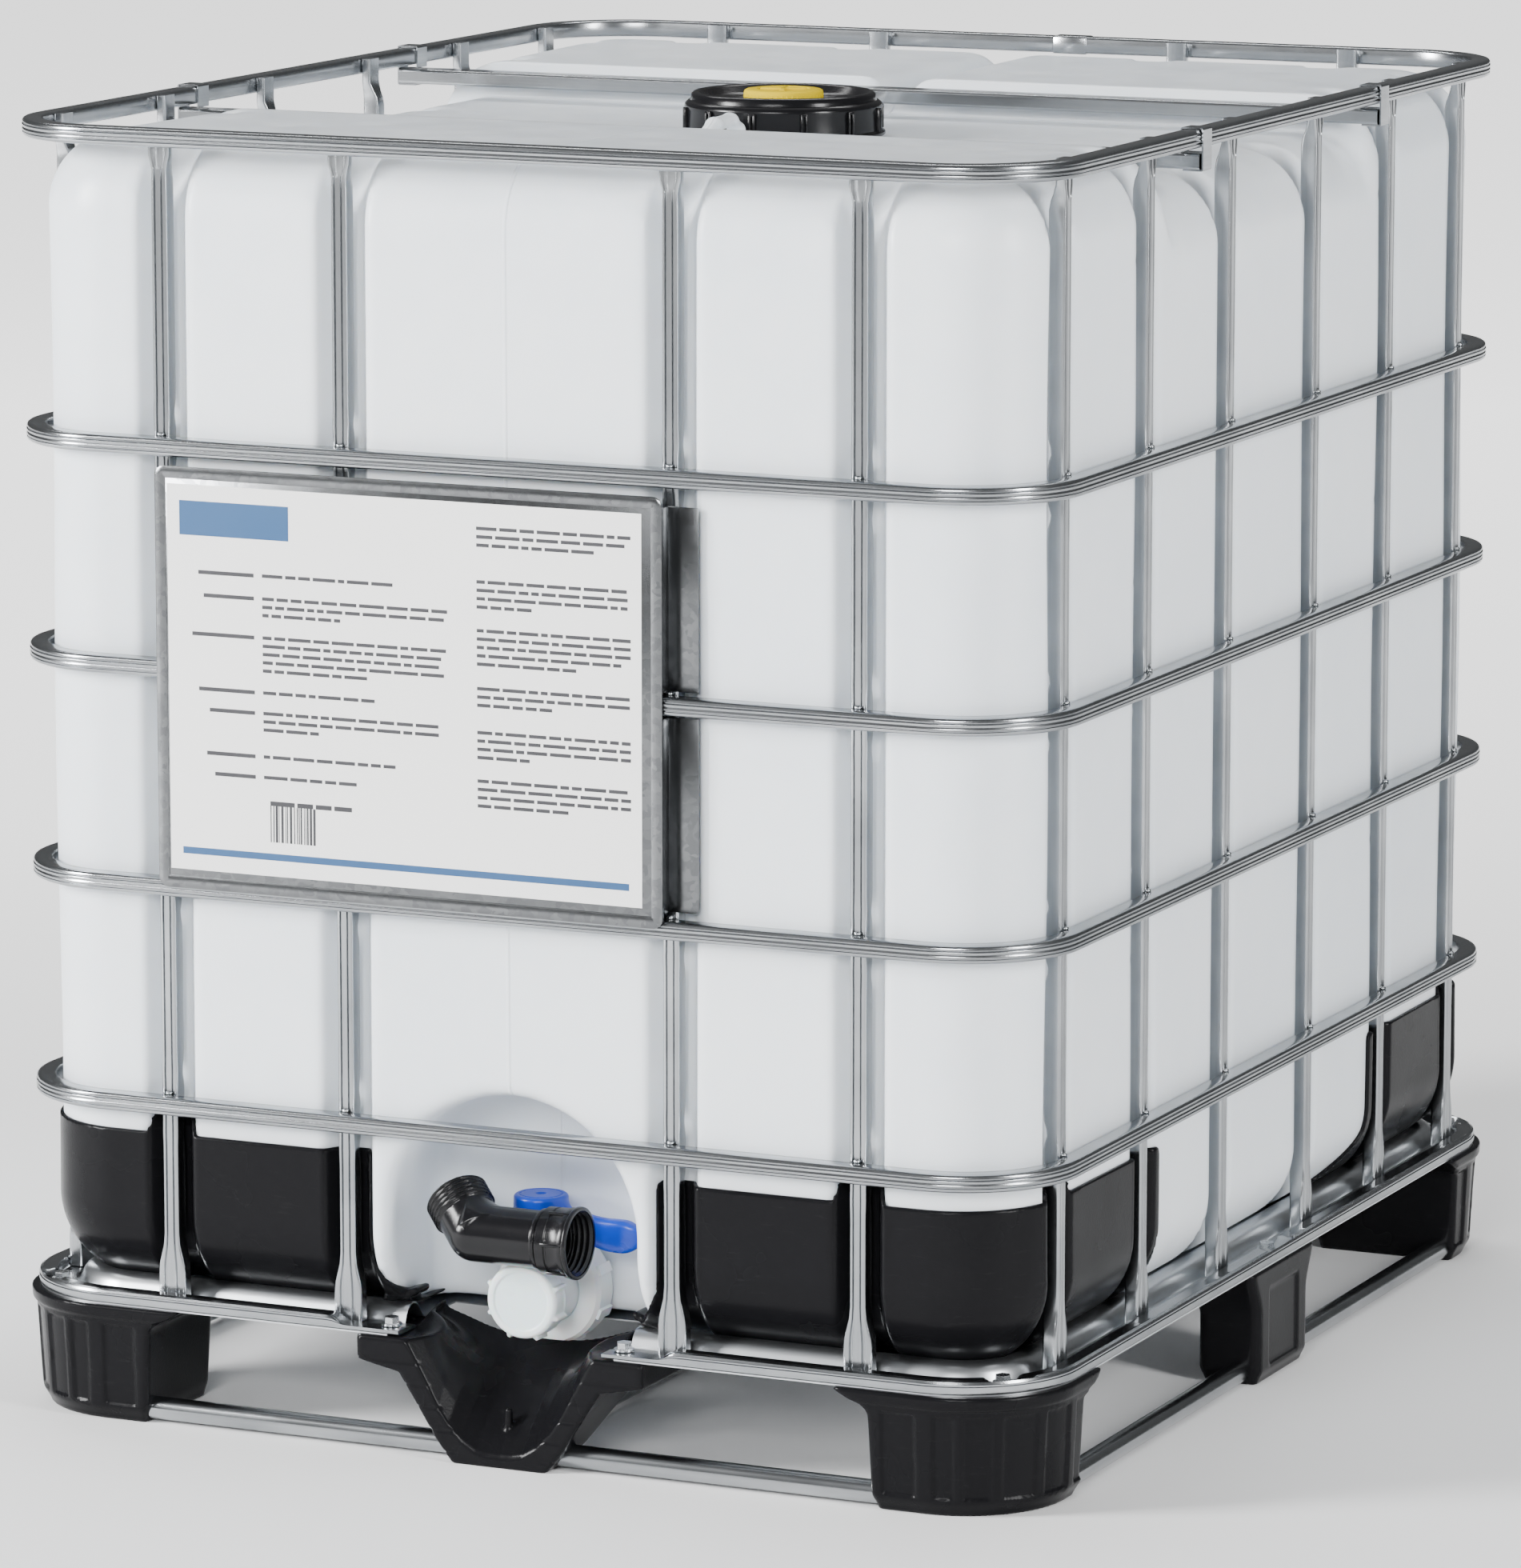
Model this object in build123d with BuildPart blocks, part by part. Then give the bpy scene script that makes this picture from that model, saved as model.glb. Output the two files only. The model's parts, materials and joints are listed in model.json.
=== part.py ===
"""Caged intermediate bulk container of about 1000 litres, on a steel and plastic pallet.

Millimetres, +Z up. The origin is the middle of the footprint on the floor. The
discharge valve faces -Y, and +X is the right-hand side seen from the valve.
"""

from build123d import *
from math import cos, radians, sin
import os

os.makedirs("parts", exist_ok=True)

# ---------------------------------------------------------------- overall
HALF_X = 500.0
HALF_Y = 600.0
HEIGHT = 1150.0

# ---------------------------------------------------------------- cage
RING_HALF_X = 497.0
RING_HALF_Y = 597.0
RING_CORNER = 105.0
RING_DEEP = 18.0
RING_TALL = 16.0
TUBE_WALL = 1.3
STRAP = 1.4
RING_TOP = HEIGHT - STRAP - 0.2
RING_MIDDLES = [290.0, 486.0, 679.0, 873.0, RING_TOP - RING_TALL / 2]
UPRIGHT_WIDE = 15.0
UPRIGHT_DEEP = 16.0
FOOT_WIDE = 27.0
PINCH_WIDE = 21.0
END_UPRIGHTS = [-330.0, -156.0, 156.0, 330.0]
SIDE_UPRIGHTS = [-484.0, -297.0, -106.0, 106.0, 297.0, 484.0]
CROSSBAR_Y = 220.0
CROSSBAR_WIDE = 26.0
CROSSBAR_TALL = 14.0
CROSSBAR_DROP = 4.4
PLATE_X = (-326.0, 158.0)
PLATE_Z = (488.0, 858.0)

# ---------------------------------------------------------------- pallet
FOOT_TOP = 106.0
SHEET = 1.5
DECK = FOOT_TOP + SHEET
BASE_TALL = 18.0
BASE_DEEP = 34.0
BASE_TOP = DECK + BASE_TALL
CUP_FLOOR = 6.0
TAB_THICK = 5.0
BOLT_X = 112.0
BOLT_HOLE = 4.5
WELL_HALF = 98.0
WELL_BACK = -502.0
SKID_RADIUS = 10.0
SKID_Z = 12.5
SKID_INSET = 20.0
FOOT_WALL = 5.0
DRAFT = 2.5

# ---------------------------------------------------------------- bottle
BOTTLE_X = 477.0
BOTTLE_Y = 577.0
BOTTLE_CORNER = 88.0
BOTTLE_LOW = DECK + 0.5
BOTTLE_HIGH = 1136.0
SHOULDER = 70.0
HEEL = 80.0
BOTTLE_WALL = 2.5
GROOVE_DEEP = 19.0
GROOVE_MOUTH = 25.0
GROOVE_FLOOR = 16.0
RECESS_Y = 245.0
RECESS_Z = 1100.0
NECK_RADIUS = 81.0
NECK_BORE = 75.0
NECK_TOP = 1123.0
NICHE_RADIUS = 118.0
NICHE_Z = 205.0
NICHE_BACK = -468.0
BUMPER_SKIN = 3.0
BUMPER_GAP = 0.5
BUMPER_LOW = 118.0
BUMPER_HIGH = 262.0
BUMPER_X = 137.0
BUMPER_Y = 262.0

# ---------------------------------------------------------------- lid and bung
LID_RADIUS = 91.0
LID_LOW = 1104.0
LID_PLATE = 1126.0
LID_DECK = 1132.0
LID_RIM = 1144.0
BUNG_HOLE = 30.0
BUNG_RADIUS = 36.0
BUNG_TOP = 1146.0

# ---------------------------------------------------------------- discharge valve
VALVE_Z = 138.0
STEM_Y = -512.0
PIPE_RADIUS = 30.0
PIPE_BORE = 25.0
PIPE_END = -549.0
TAP_NECK_RADIUS = 33.0
TAP_NECK_END = -487.0
TAP_NUT_RADIUS = 50.0
STEM_RADIUS = 5.0
BOSS_RADIUS = 11.0
BOSS_TOP = 188.0
HUB_RADIUS = 24.5
HUB_LOW = 190.0
HUB_TOP = 226.0
LEVER_REACH = 98.0
CAP_RADIUS = 34.0
CAP_LUG_RADIUS = 37.0
SPOUT_Y = -567.0
SPOUT_Z = 199.0
SPOUT_RADIUS = 25.5
SPOUT_BORE = 22.0
SPOUT_RISE = 48.0
SPOUT_LEAN = 38.0
SPOUT_NUT_RADIUS = 32.0
SPOUT_THREAD_RADIUS = 30.2
RUNNING = 0.05


def save(shape, label):
    """Labels a piece and writes it as its own node."""
    shape.label = label
    export_step(shape, f"parts/{label}.step")


def outline(inset, mode=Mode.ADD):
    """The cage's plan outline, drawn in by an inset."""
    corner = max(RING_CORNER - inset, 10.0)
    RectangleRounded(2 * (RING_HALF_X - inset), 2 * (RING_HALF_Y - inset), corner, mode=mode)


def band(inset_out, inset_in, z):
    """A sketch of the plan band between two insets, at height z."""
    with BuildSketch(Plane.XY.offset(z)) as sketch:
        outline(inset_out)
        outline(inset_in, mode=Mode.SUBTRACT)
    return sketch.sketch


# ================================================================ cage
def cage_ring(middle):
    """A closed hoop of square tube with a rolled groove along its outer face."""
    low = middle - RING_TALL / 2
    groove = 3.0
    groove_deep = 1.6
    with BuildPart() as hoop:
        extrude(band(0, RING_DEEP, low), amount=RING_TALL)
        fillet(hoop.faces().filter_by(Axis.Z).edges(), 3.5)
        extrude(band(-2, groove_deep, middle - groove / 2), amount=groove, mode=Mode.SUBTRACT)
        extrude(
            band(groove_deep + TUBE_WALL, RING_DEEP - TUBE_WALL, low + TUBE_WALL),
            amount=RING_TALL - 2 * TUBE_WALL,
            mode=Mode.SUBTRACT,
        )
    return hoop.part


def upright(foot):
    """A tube from the base ring to the top ring, flattened and widened at both ends.

    foot is a level plane at z = 0 whose origin is on the ring's inner face and whose
    local Y points outward.
    """
    stations = [  # height, width, depth
        (BASE_TOP, FOOT_WIDE, 13.0),
        (BASE_TOP + 26, FOOT_WIDE - 3, 13.0),
        (BASE_TOP + 44, UPRIGHT_WIDE, UPRIGHT_DEEP),
        (RING_TOP - 46, UPRIGHT_WIDE, UPRIGHT_DEEP),
        (RING_TOP - 32, PINCH_WIDE, 9.0),
        (RING_TOP - 1.5, PINCH_WIDE, 9.0),
    ]
    with BuildPart() as tube:
        for wall, mode in ((0.0, Mode.ADD), (TUBE_WALL, Mode.SUBTRACT)):
            profiles = []
            for z, wide, deep in stations:
                with BuildSketch(foot.offset(z)) as profile:
                    with Locations((0, -deep / 2)):
                        RectangleRounded(wide - 2 * wall, deep - 2 * wall, 2.6 - wall)
                profiles.append(profile.sketch)
            loft(profiles, ruled=True, mode=mode)
    return tube.part


def upright_feet():
    """Name and foot plane of every upright: front, rear, left and right, in order."""
    inner_x = RING_HALF_X - RING_DEEP
    inner_y = RING_HALF_Y - RING_DEEP
    up = (0, 0, 1)
    for number, x in enumerate(END_UPRIGHTS, 1):
        yield f"upright_front_{number}", Plane((x, -inner_y, 0), x_dir=(-1, 0, 0), z_dir=up)
        yield f"upright_rear_{number}", Plane((x, inner_y, 0), x_dir=(1, 0, 0), z_dir=up)
    for number, y in enumerate(SIDE_UPRIGHTS, 1):
        yield f"upright_left_{number}", Plane((-inner_x, y, 0), x_dir=(0, 1, 0), z_dir=up)
        yield f"upright_right_{number}", Plane((inner_x, y, 0), x_dir=(0, -1, 0), z_dir=up)


def cup_places():
    """Bolt cups: one on each corner's diagonal, and one at the middle of the back."""
    reach = RING_CORNER - BASE_DEEP / 2
    x = RING_HALF_X - RING_CORNER + reach * cos(radians(45))
    y = RING_HALF_Y - RING_CORNER + reach * sin(radians(45))
    corners = [(sx * x, sy * y) for sx in (-1, 1) for sy in (-1, 1)]
    return corners + [(0, RING_HALF_Y - BASE_DEEP / 2)]


def tab_places():
    """Bolts through the base ring's flattened stretches, at the well and both sides."""
    x = RING_HALF_X - BASE_DEEP / 2
    y = -RING_HALF_Y + BASE_DEEP / 2
    return [(-BOLT_X, y), (BOLT_X, y), (-x, 0), (x, 0)]


def base_ring():
    """The cage's bottom tube, open at the well and crimped flat at its bolts."""
    front = -RING_HALF_Y + BASE_DEEP / 2
    middle_z = DECK + BASE_TALL / 2
    slope = 20.0
    crimp = 48.0
    flat = 24.0
    tube_start = BOLT_X + 34
    with BuildPart() as ring:
        extrude(band(0, BASE_DEEP, DECK), amount=BASE_TALL)
        fillet(ring.faces().filter_by(Axis.Z).edges(), 4.0)
        extrude(
            band(TUBE_WALL + 1, BASE_DEEP - TUBE_WALL - 1, DECK + TUBE_WALL),
            amount=BASE_TALL - 2 * TUBE_WALL,
            mode=Mode.SUBTRACT,
        )
        with Locations((0, front, middle_z)):
            Box(2 * tube_start, BASE_DEEP + 4, BASE_TALL + 4, mode=Mode.SUBTRACT)
        for side in (-1, 1):
            with BuildSketch(Plane.XZ.offset(RING_HALF_Y)):
                with BuildLine():
                    Polyline(
                        (side * WELL_HALF, DECK),
                        (side * WELL_HALF, DECK + TAB_THICK),
                        (side * (tube_start - slope), DECK + TAB_THICK),
                        (side * tube_start, BASE_TOP - 1),
                        (side * tube_start, DECK),
                        close=True,
                    )
                make_face()
            extrude(amount=-BASE_DEEP)
            middle = side * (RING_HALF_X - BASE_DEEP / 2)
            with Locations((middle, 0, middle_z)):
                Box(BASE_DEEP + 4, 2 * crimp, BASE_TALL + 4, mode=Mode.SUBTRACT)
            with BuildSketch(Plane.YZ.offset(middle - BASE_DEEP / 2)):
                with BuildLine():
                    Polyline(
                        (-crimp, DECK),
                        (-crimp, BASE_TOP),
                        (-crimp + 8, BASE_TOP),
                        (-flat, DECK + TAB_THICK),
                        (flat, DECK + TAB_THICK),
                        (crimp - 8, BASE_TOP),
                        (crimp, BASE_TOP),
                        (crimp, DECK),
                        close=True,
                    )
                make_face()
            extrude(amount=BASE_DEEP)
        with Locations(*[(x, y, middle_z) for x, y in cup_places()]):
            Cylinder(15.5, BASE_TALL)
        with Locations(*[(x, y, BASE_TOP) for x, y in cup_places()]):
            Cylinder(13.5, 2 * (BASE_TALL - CUP_FLOOR), mode=Mode.SUBTRACT)
        with Locations(*[(x, y, DECK) for x, y in cup_places() + tab_places()]):
            Cylinder(BOLT_HOLE, 40, mode=Mode.SUBTRACT)
    return ring.part


def crossbar(y):
    """A rectangular tube across the top, under the top ring and open at both ends."""
    middle = RING_TOP - RING_TALL - CROSSBAR_DROP - CROSSBAR_TALL / 2
    with BuildPart() as bar:
        with BuildSketch(Plane.YZ.offset(-RING_HALF_X + 1)):
            with Locations((y, middle)):
                RectangleRounded(CROSSBAR_WIDE, CROSSBAR_TALL, 2.6)
                RectangleRounded(
                    CROSSBAR_WIDE - 2 * TUBE_WALL,
                    CROSSBAR_TALL - 2 * TUBE_WALL,
                    1.3,
                    mode=Mode.SUBTRACT,
                )
        extrude(amount=2 * RING_HALF_X - 2)
    return bar.part


def crossbar_strap(side, y):
    """A band closed round the top ring and the crossbar's end below it."""
    wide = 20.0
    out = RING_HALF_X + STRAP + 0.2
    inner = RING_HALF_X - RING_DEEP - STRAP - 0.2
    low = RING_TOP - RING_TALL - CROSSBAR_DROP - CROSSBAR_TALL - STRAP - 0.2
    with BuildPart() as strap:
        with BuildSketch(Plane.XZ.offset(-(y - wide / 2))):
            with Locations((side * (out + inner) / 2, (HEIGHT + low) / 2)):
                RectangleRounded(out - inner, HEIGHT - low, 2.0)
                Rectangle(out - inner - 2 * STRAP, HEIGHT - low - 2 * STRAP, mode=Mode.SUBTRACT)
        extrude(amount=-wide)
        # the inner leg stops above the crossbar, which runs on through
        with Locations((side * (inner + STRAP / 2), y, low + STRAP + CROSSBAR_TALL / 2)):
            Box(STRAP + 2, wide + 2, CROSSBAR_TALL + 3, mode=Mode.SUBTRACT)
    return strap.part


def label_plate():
    """Sheet steel plate on the front of the cage, with a folded hem on all four edges."""
    wide = PLATE_X[1] - PLATE_X[0]
    tall = PLATE_Z[1] - PLATE_Z[0]
    place = ((PLATE_X[0] + PLATE_X[1]) / 2, (PLATE_Z[0] + PLATE_Z[1]) / 2)
    with BuildPart() as plate:
        with BuildSketch(Plane.XZ.offset(RING_HALF_Y + 0.2)):
            with Locations(place):
                RectangleRounded(wide, tall, 8)
        extrude(amount=2.6)
        with BuildSketch(Plane.XZ.offset(RING_HALF_Y + 1.4)):
            with Locations(place):
                RectangleRounded(wide - 22, tall - 22, 4)
        extrude(amount=4, mode=Mode.SUBTRACT)
    return plate.part


# ================================================================ pallet
def pallet_pan():
    """Galvanised tray: a flat deck, a raised bead round it and a flange under the ring."""
    bead_out = 36.0
    bead_in = 54.0
    bead_high = 16.0
    round_over = 8.0
    with BuildPart() as pan:
        extrude(band(bead_out, bead_in, FOOT_TOP), amount=bead_high)
        fillet(pan.faces().sort_by(Axis.Z)[-1].edges(), round_over)
        with BuildSketch(Plane.XY.offset(FOOT_TOP)):
            outline(1)
        extrude(amount=SHEET)
        under = bead_high - round_over
        extrude(
            band(bead_out + SHEET, bead_in - SHEET, FOOT_TOP), amount=under, mode=Mode.SUBTRACT
        )
        extrude(
            band(bead_out + 5, bead_in - 5, FOOT_TOP + under),
            amount=round_over - 2 * SHEET,
            mode=Mode.SUBTRACT,
        )
        with Locations((0, -HALF_Y + 65, DECK)):
            Box(2 * WELL_HALF + 20, 150, 60, mode=Mode.SUBTRACT)
        with Locations(*[(x, y, DECK) for x, y in cup_places() + tab_places()]):
            Cylinder(BOLT_HOLE, 10, mode=Mode.SUBTRACT)
    return pan.part


def skid_frame():
    """Round tube runners: a hoop through the feet and a tube down the middle."""
    tube_in = SKID_INSET - SKID_RADIUS
    tube_out = SKID_INSET + SKID_RADIUS
    hollow = 6.0
    centre_length = 2 * (RING_HALF_Y - SKID_INSET)
    with BuildPart() as frame:
        extrude(band(tube_in, tube_out, SKID_Z - SKID_RADIUS), amount=2 * SKID_RADIUS)
        fillet(frame.faces().filter_by(Axis.Z).edges(), SKID_RADIUS - 0.3)
        with Locations((0, 0, SKID_Z)):
            Cylinder(SKID_RADIUS, centre_length, rotation=(90, 0, 0))
        extrude(
            band(SKID_INSET - hollow, SKID_INSET + hollow, SKID_Z - hollow),
            amount=2 * hollow,
            mode=Mode.SUBTRACT,
        )
        with Locations((0, 0, SKID_Z)):
            Cylinder(SKID_RADIUS - 1.6, centre_length, rotation=(90, 0, 0), mode=Mode.SUBTRACT)
    return frame.part


def skid_channels():
    """Clearance in the feet for the runners, as one solid."""
    gap = 0.4
    reach = SKID_RADIUS + gap
    with BuildPart() as channels:
        extrude(
            band(SKID_INSET - reach, SKID_INSET + reach, SKID_Z - reach), amount=2 * reach
        )
        with Locations((0, 0, SKID_Z)):
            Box(2 * reach, 2 * (RING_HALF_Y - SKID_INSET), 2 * reach)
    return channels.part


def bolt_bores():
    """Clearance in the feet for the pallet bolts' shanks, as one compound."""
    with BuildPart() as bores:
        with Locations(*[(x, y, FOOT_TOP) for x, y in cup_places() + tab_places()]):
            Cylinder(BOLT_HOLE, 60)
    return bores.part


def corner_foot(sx, sy, cuts):
    """A hollow corner foot with a flared head, following the pallet's round corner."""
    body = (155.0, 134.0)
    head = (185.0, 158.0)
    over = 40.0
    corner = RING_CORNER - 3
    with BuildPart() as foot:
        for (long, wide), wall, depth, slope, mode in (
            (body, 0.0, FOOT_TOP, DRAFT, Mode.ADD),
            (head, 0.0, 12.0, 45.0, Mode.ADD),
            (body, FOOT_WALL, FOOT_TOP - FOOT_WALL, DRAFT, Mode.SUBTRACT),
        ):
            with BuildSketch(Plane.XY.offset(FOOT_TOP)):
                RectangleRounded(2 * (HALF_X - wall), 2 * (HALF_Y - wall), corner - wall)
                x = sx * (HALF_X - long / 2 + over / 2)
                y = sy * (HALF_Y - wide / 2 + over / 2)
                with Locations((x, y)):
                    RectangleRounded(
                        long + over - 2 * wall, wide + over - 2 * wall, 14 - wall,
                        mode=Mode.INTERSECT,
                    )
            extrude(amount=-depth, taper=slope, mode=mode)
        boss = [place for place in cup_places() if sx * place[0] > 0 < sy * place[1]][0]
        with Locations((*boss, FOOT_TOP - 20)):
            Cylinder(19, 40)
        add(cuts, mode=Mode.SUBTRACT)
    return foot.part


def block_foot(top, low, cuts, boss=None):
    """A hollow foot between a plan rectangle under the deck and a smaller one on the floor.

    top and low are (x centre, y centre, x size, y size); the head flares out over the
    last 30 mm below the deck.
    """
    flare = 30.0
    with BuildPart() as foot:
        for wall, mode in ((0.0, Mode.ADD), (FOOT_WALL, Mode.SUBTRACT)):
            profiles = []
            for z, (x, y, long, wide) in (
                (wall, low), (FOOT_TOP - flare, low), (FOOT_TOP, top),
            ):
                with BuildSketch(Plane.XY.offset(z)) as profile:
                    with Locations((x, y)):
                        RectangleRounded(long - 2 * wall, wide - 2 * wall, 14 - wall)
                profiles.append(profile.sketch)
            loft(profiles, ruled=True, mode=mode)
        if boss:
            with Locations((*boss, FOOT_TOP - 20)):
                Cylinder(15, 40)
        add(cuts, mode=Mode.SUBTRACT)
    return foot.part


def well_foot(cuts):
    """The front foot: a V-shaped scoop below the discharge valve, open to the front."""

    def half_section(y, points):
        """One mirrored cross-section, at y, from its right-hand points."""
        with BuildSketch(Plane.XZ.offset(-y)) as section:
            with BuildLine():
                Polyline(*points, *[(-x, z) for x, z in reversed(points)], close=True)
            make_face()
        return section.sketch

    with BuildPart() as foot:
        loft(
            [
                half_section(-HALF_Y, [(138, FOOT_TOP), (138, 86), (104, 78), (52, 6), (44, 0)]),
                half_section(-560, [(138, FOOT_TOP), (138, 86), (104, 78), (52, 6), (44, 0)]),
                half_section(
                    WELL_BACK, [(138, FOOT_TOP), (138, 98), (104, 94), (64, 84), (56, 82)]
                ),
            ],
            ruled=True,
        )
        loft(
            [
                half_section(-HALF_Y - 1, [(WELL_HALF, 120), (96, 92), (92, 80), (44, 20), (32, 12)]),
                half_section(-586, [(WELL_HALF, 120), (96, 92), (92, 82), (44, 32), (32, 25)]),
                half_section(
                    WELL_BACK - 3, [(WELL_HALF, 120), (94, 112), (84, 106), (50, 99), (30, 98)]
                ),
            ],
            ruled=True,
            mode=Mode.SUBTRACT,
        )
        with Locations((0, -574, 27)):
            Cone(4, 2, 22)
        for side in (-1, 1):
            with Locations((side * (WELL_HALF + 20), -556, FOOT_TOP - 15)):
                Box(12, 60, 22, mode=Mode.SUBTRACT)
        add(cuts, mode=Mode.SUBTRACT)
    return foot.part


def pallet_bolt(x, y, seat):
    """A flanged hexagon bolt, down through the ring and the pan into a foot."""
    with BuildPart() as bolt:
        with Locations((x, y, seat)):
            Cylinder(9.0, 1.6, align=(Align.CENTER, Align.CENTER, Align.MIN))
            Cylinder(4.0, 30, align=(Align.CENTER, Align.CENTER, Align.MAX))
        with BuildSketch(Plane.XY.offset(seat + 1.6)):
            with Locations((x, y)):
                RegularPolygon(7.2, 6)
        extrude(amount=5.5, taper=4)
    return bolt.part


# ================================================================ bottle
def grooves(swell):
    """Vertical grooves in the bottle's sides, one behind each upright, as one solid.

    swell moves the groove's walls with the bottle's skin.
    """
    mouth = GROOVE_MOUTH - swell
    floor = GROOVE_FLOOR - swell
    with BuildPart() as cutters:
        for places, half, turn in (
            ([(x, s) for x in END_UPRIGHTS for s in (-1, 1)], BOTTLE_Y, 0),
            ([(y, s) for y in SIDE_UPRIGHTS for s in (-1, 1)], BOTTLE_X, 90),
        ):
            for along, sign in places:
                bottom = half - GROOVE_DEEP + swell
                rim = half + swell + 12
                widen = mouth + (mouth - floor) * 12 / GROOVE_DEEP
                points = [(-floor, bottom), (floor, bottom), (widen, rim), (-widen, rim)]
                if turn:
                    points = [(sign * out, along + side) for side, out in points]
                else:
                    points = [(along + side, sign * out) for side, out in points]
                with BuildSketch(Plane.XY):
                    with BuildLine():
                        Polyline(*points, close=True)
                    make_face()
                extrude(amount=HEIGHT + 20)
    return cutters.part


def bottle_form(swell):
    """The bottle's closed outer form, with its skin moved out by swell."""
    low = BOTTLE_LOW - swell
    high = BOTTLE_HIGH + swell
    recess = RECESS_Z + swell
    half_recess = RECESS_Y - swell
    niche = NICHE_RADIUS - swell
    niche_back = NICHE_BACK - swell
    niche_long = 200.0
    with BuildPart() as form:
        with BuildSketch(Plane.XY.offset(low)):
            RectangleRounded(
                2 * (BOTTLE_X + swell), 2 * (BOTTLE_Y + swell), BOTTLE_CORNER + swell
            )
        extrude(amount=high - low)
        fillet(form.faces().sort_by(Axis.Z)[-1].edges(), SHOULDER + swell)
        fillet(form.faces().sort_by(Axis.Z)[0].edges(), HEEL + swell)
        with BuildSketch(Plane.YZ.offset(-HALF_X - 10)):
            with BuildLine():
                Polyline(
                    (-half_recess, recess),
                    (half_recess, recess),
                    (half_recess + 20, high + 20),
                    (-half_recess - 20, high + 20),
                    close=True,
                )
            make_face()
        extrude(amount=2 * HALF_X + 20, mode=Mode.SUBTRACT)
        with BuildSketch(Plane.XZ.offset(-niche_back)):
            with Locations((0, NICHE_Z)):
                Circle(niche)
            with Locations((0, NICHE_Z - niche_long / 2)):
                Rectangle(2 * niche, niche_long)
        extrude(amount=niche_long, mode=Mode.SUBTRACT)
        add(grooves(swell), mode=Mode.SUBTRACT)
    return form.part


def bottle():
    """The blow-moulded bottle: a thin skin with a filling neck, a tap neck and two loops."""
    tap_back = NICHE_BACK + 4
    with BuildPart() as body:
        add(bottle_form(0.0))
        with Locations((0, 0, RECESS_Z - 10)):
            Cylinder(
                NECK_RADIUS, NECK_TOP - RECESS_Z + 10,
                align=(Align.CENTER, Align.CENTER, Align.MIN),
            )
        with BuildSketch(Plane.XZ.offset(-tap_back)):
            with Locations((0, VALVE_Z)):
                Circle(TAP_NECK_RADIUS)
        extrude(amount=tap_back - TAP_NECK_END)
        for side in (-1, 1):
            with BuildSketch(Plane.YZ.offset(-6)):
                with BuildLine():
                    Polyline(
                        (side * 100, RECESS_Z - 5),
                        (side * 104, RECESS_Z + 20),
                        (side * 120, RECESS_Z + 34),
                        (side * 150, RECESS_Z + 34),
                        (side * 198, RECESS_Z + 6),
                        (side * 200, RECESS_Z - 5),
                        close=True,
                    )
                make_face()
                with BuildLine():
                    Polyline(
                        (side * 113, RECESS_Z + 2),
                        (side * 115, RECESS_Z + 16),
                        (side * 124, RECESS_Z + 24),
                        (side * 147, RECESS_Z + 24),
                        (side * 178, RECESS_Z + 2),
                        close=True,
                    )
                make_face(mode=Mode.SUBTRACT)
            extrude(amount=12)
        add(bottle_form(-BOTTLE_WALL), mode=Mode.SUBTRACT)
        with Locations((0, 0, RECESS_Z)):
            Cylinder(NECK_BORE, 80, mode=Mode.SUBTRACT)
        with BuildSketch(Plane.XZ.offset(-NICHE_BACK - 10)):
            with Locations((0, VALVE_Z)):
                Circle(PIPE_BORE)
        extrude(amount=60, both=True, mode=Mode.SUBTRACT)
    return body.part


def bumper(shell, sx, sy):
    """A corner protector: the part of the shell round one lower corner of the bottle."""
    x = sx * (HALF_X + BUMPER_X) / 2
    y = sy * (HALF_Y + BUMPER_Y) / 2
    with BuildPart() as guard:
        add(shell)
        with Locations((x, y, (BUMPER_LOW + BUMPER_HIGH) / 2)):
            Box(
                HALF_X - BUMPER_X, HALF_Y - BUMPER_Y, BUMPER_HIGH - BUMPER_LOW,
                mode=Mode.INTERSECT,
            )
    return guard.part


# ================================================================ lid and bung
def turned(points):
    """A solid of revolution about Z from (radius, height) points."""
    with BuildPart() as solid:
        with BuildSketch(Plane.XZ):
            with BuildLine():
                Polyline(*points, close=True)
            make_face()
        revolve(axis=Axis.Z)
    return solid.part


def lid():
    """The screw lid: a ribbed skirt over the neck, a sunk deck and a raised rim."""
    skirt = NECK_RADIUS + 1.0
    with BuildPart() as cover:
        add(
            turned(
                [
                    (skirt, LID_LOW),
                    (LID_RADIUS, LID_LOW),
                    (LID_RADIUS, LID_DECK),
                    (LID_RADIUS - 5, LID_DECK + 5),
                    (LID_RADIUS - 6, LID_RIM - 1),
                    (LID_RADIUS - 11, LID_RIM),
                    (LID_RADIUS - 18, LID_DECK + 4),
                    (LID_RADIUS - 30, LID_DECK),
                    (BUNG_HOLE, LID_DECK),
                    (BUNG_HOLE, LID_PLATE),
                    (skirt, LID_PLATE),
                ]
            )
        )
        with BuildSketch(Plane.XY.offset(LID_LOW + 4)):
            with PolarLocations(LID_RADIUS, 16):
                Rectangle(5, 6)
        extrude(amount=LID_DECK - LID_LOW - 6)
    return cover.part


def ring_solid(outer, bore, low, high):
    """A flat ring about Z."""
    return turned([(bore, low), (outer, low), (outer, high), (bore, high)])


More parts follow.
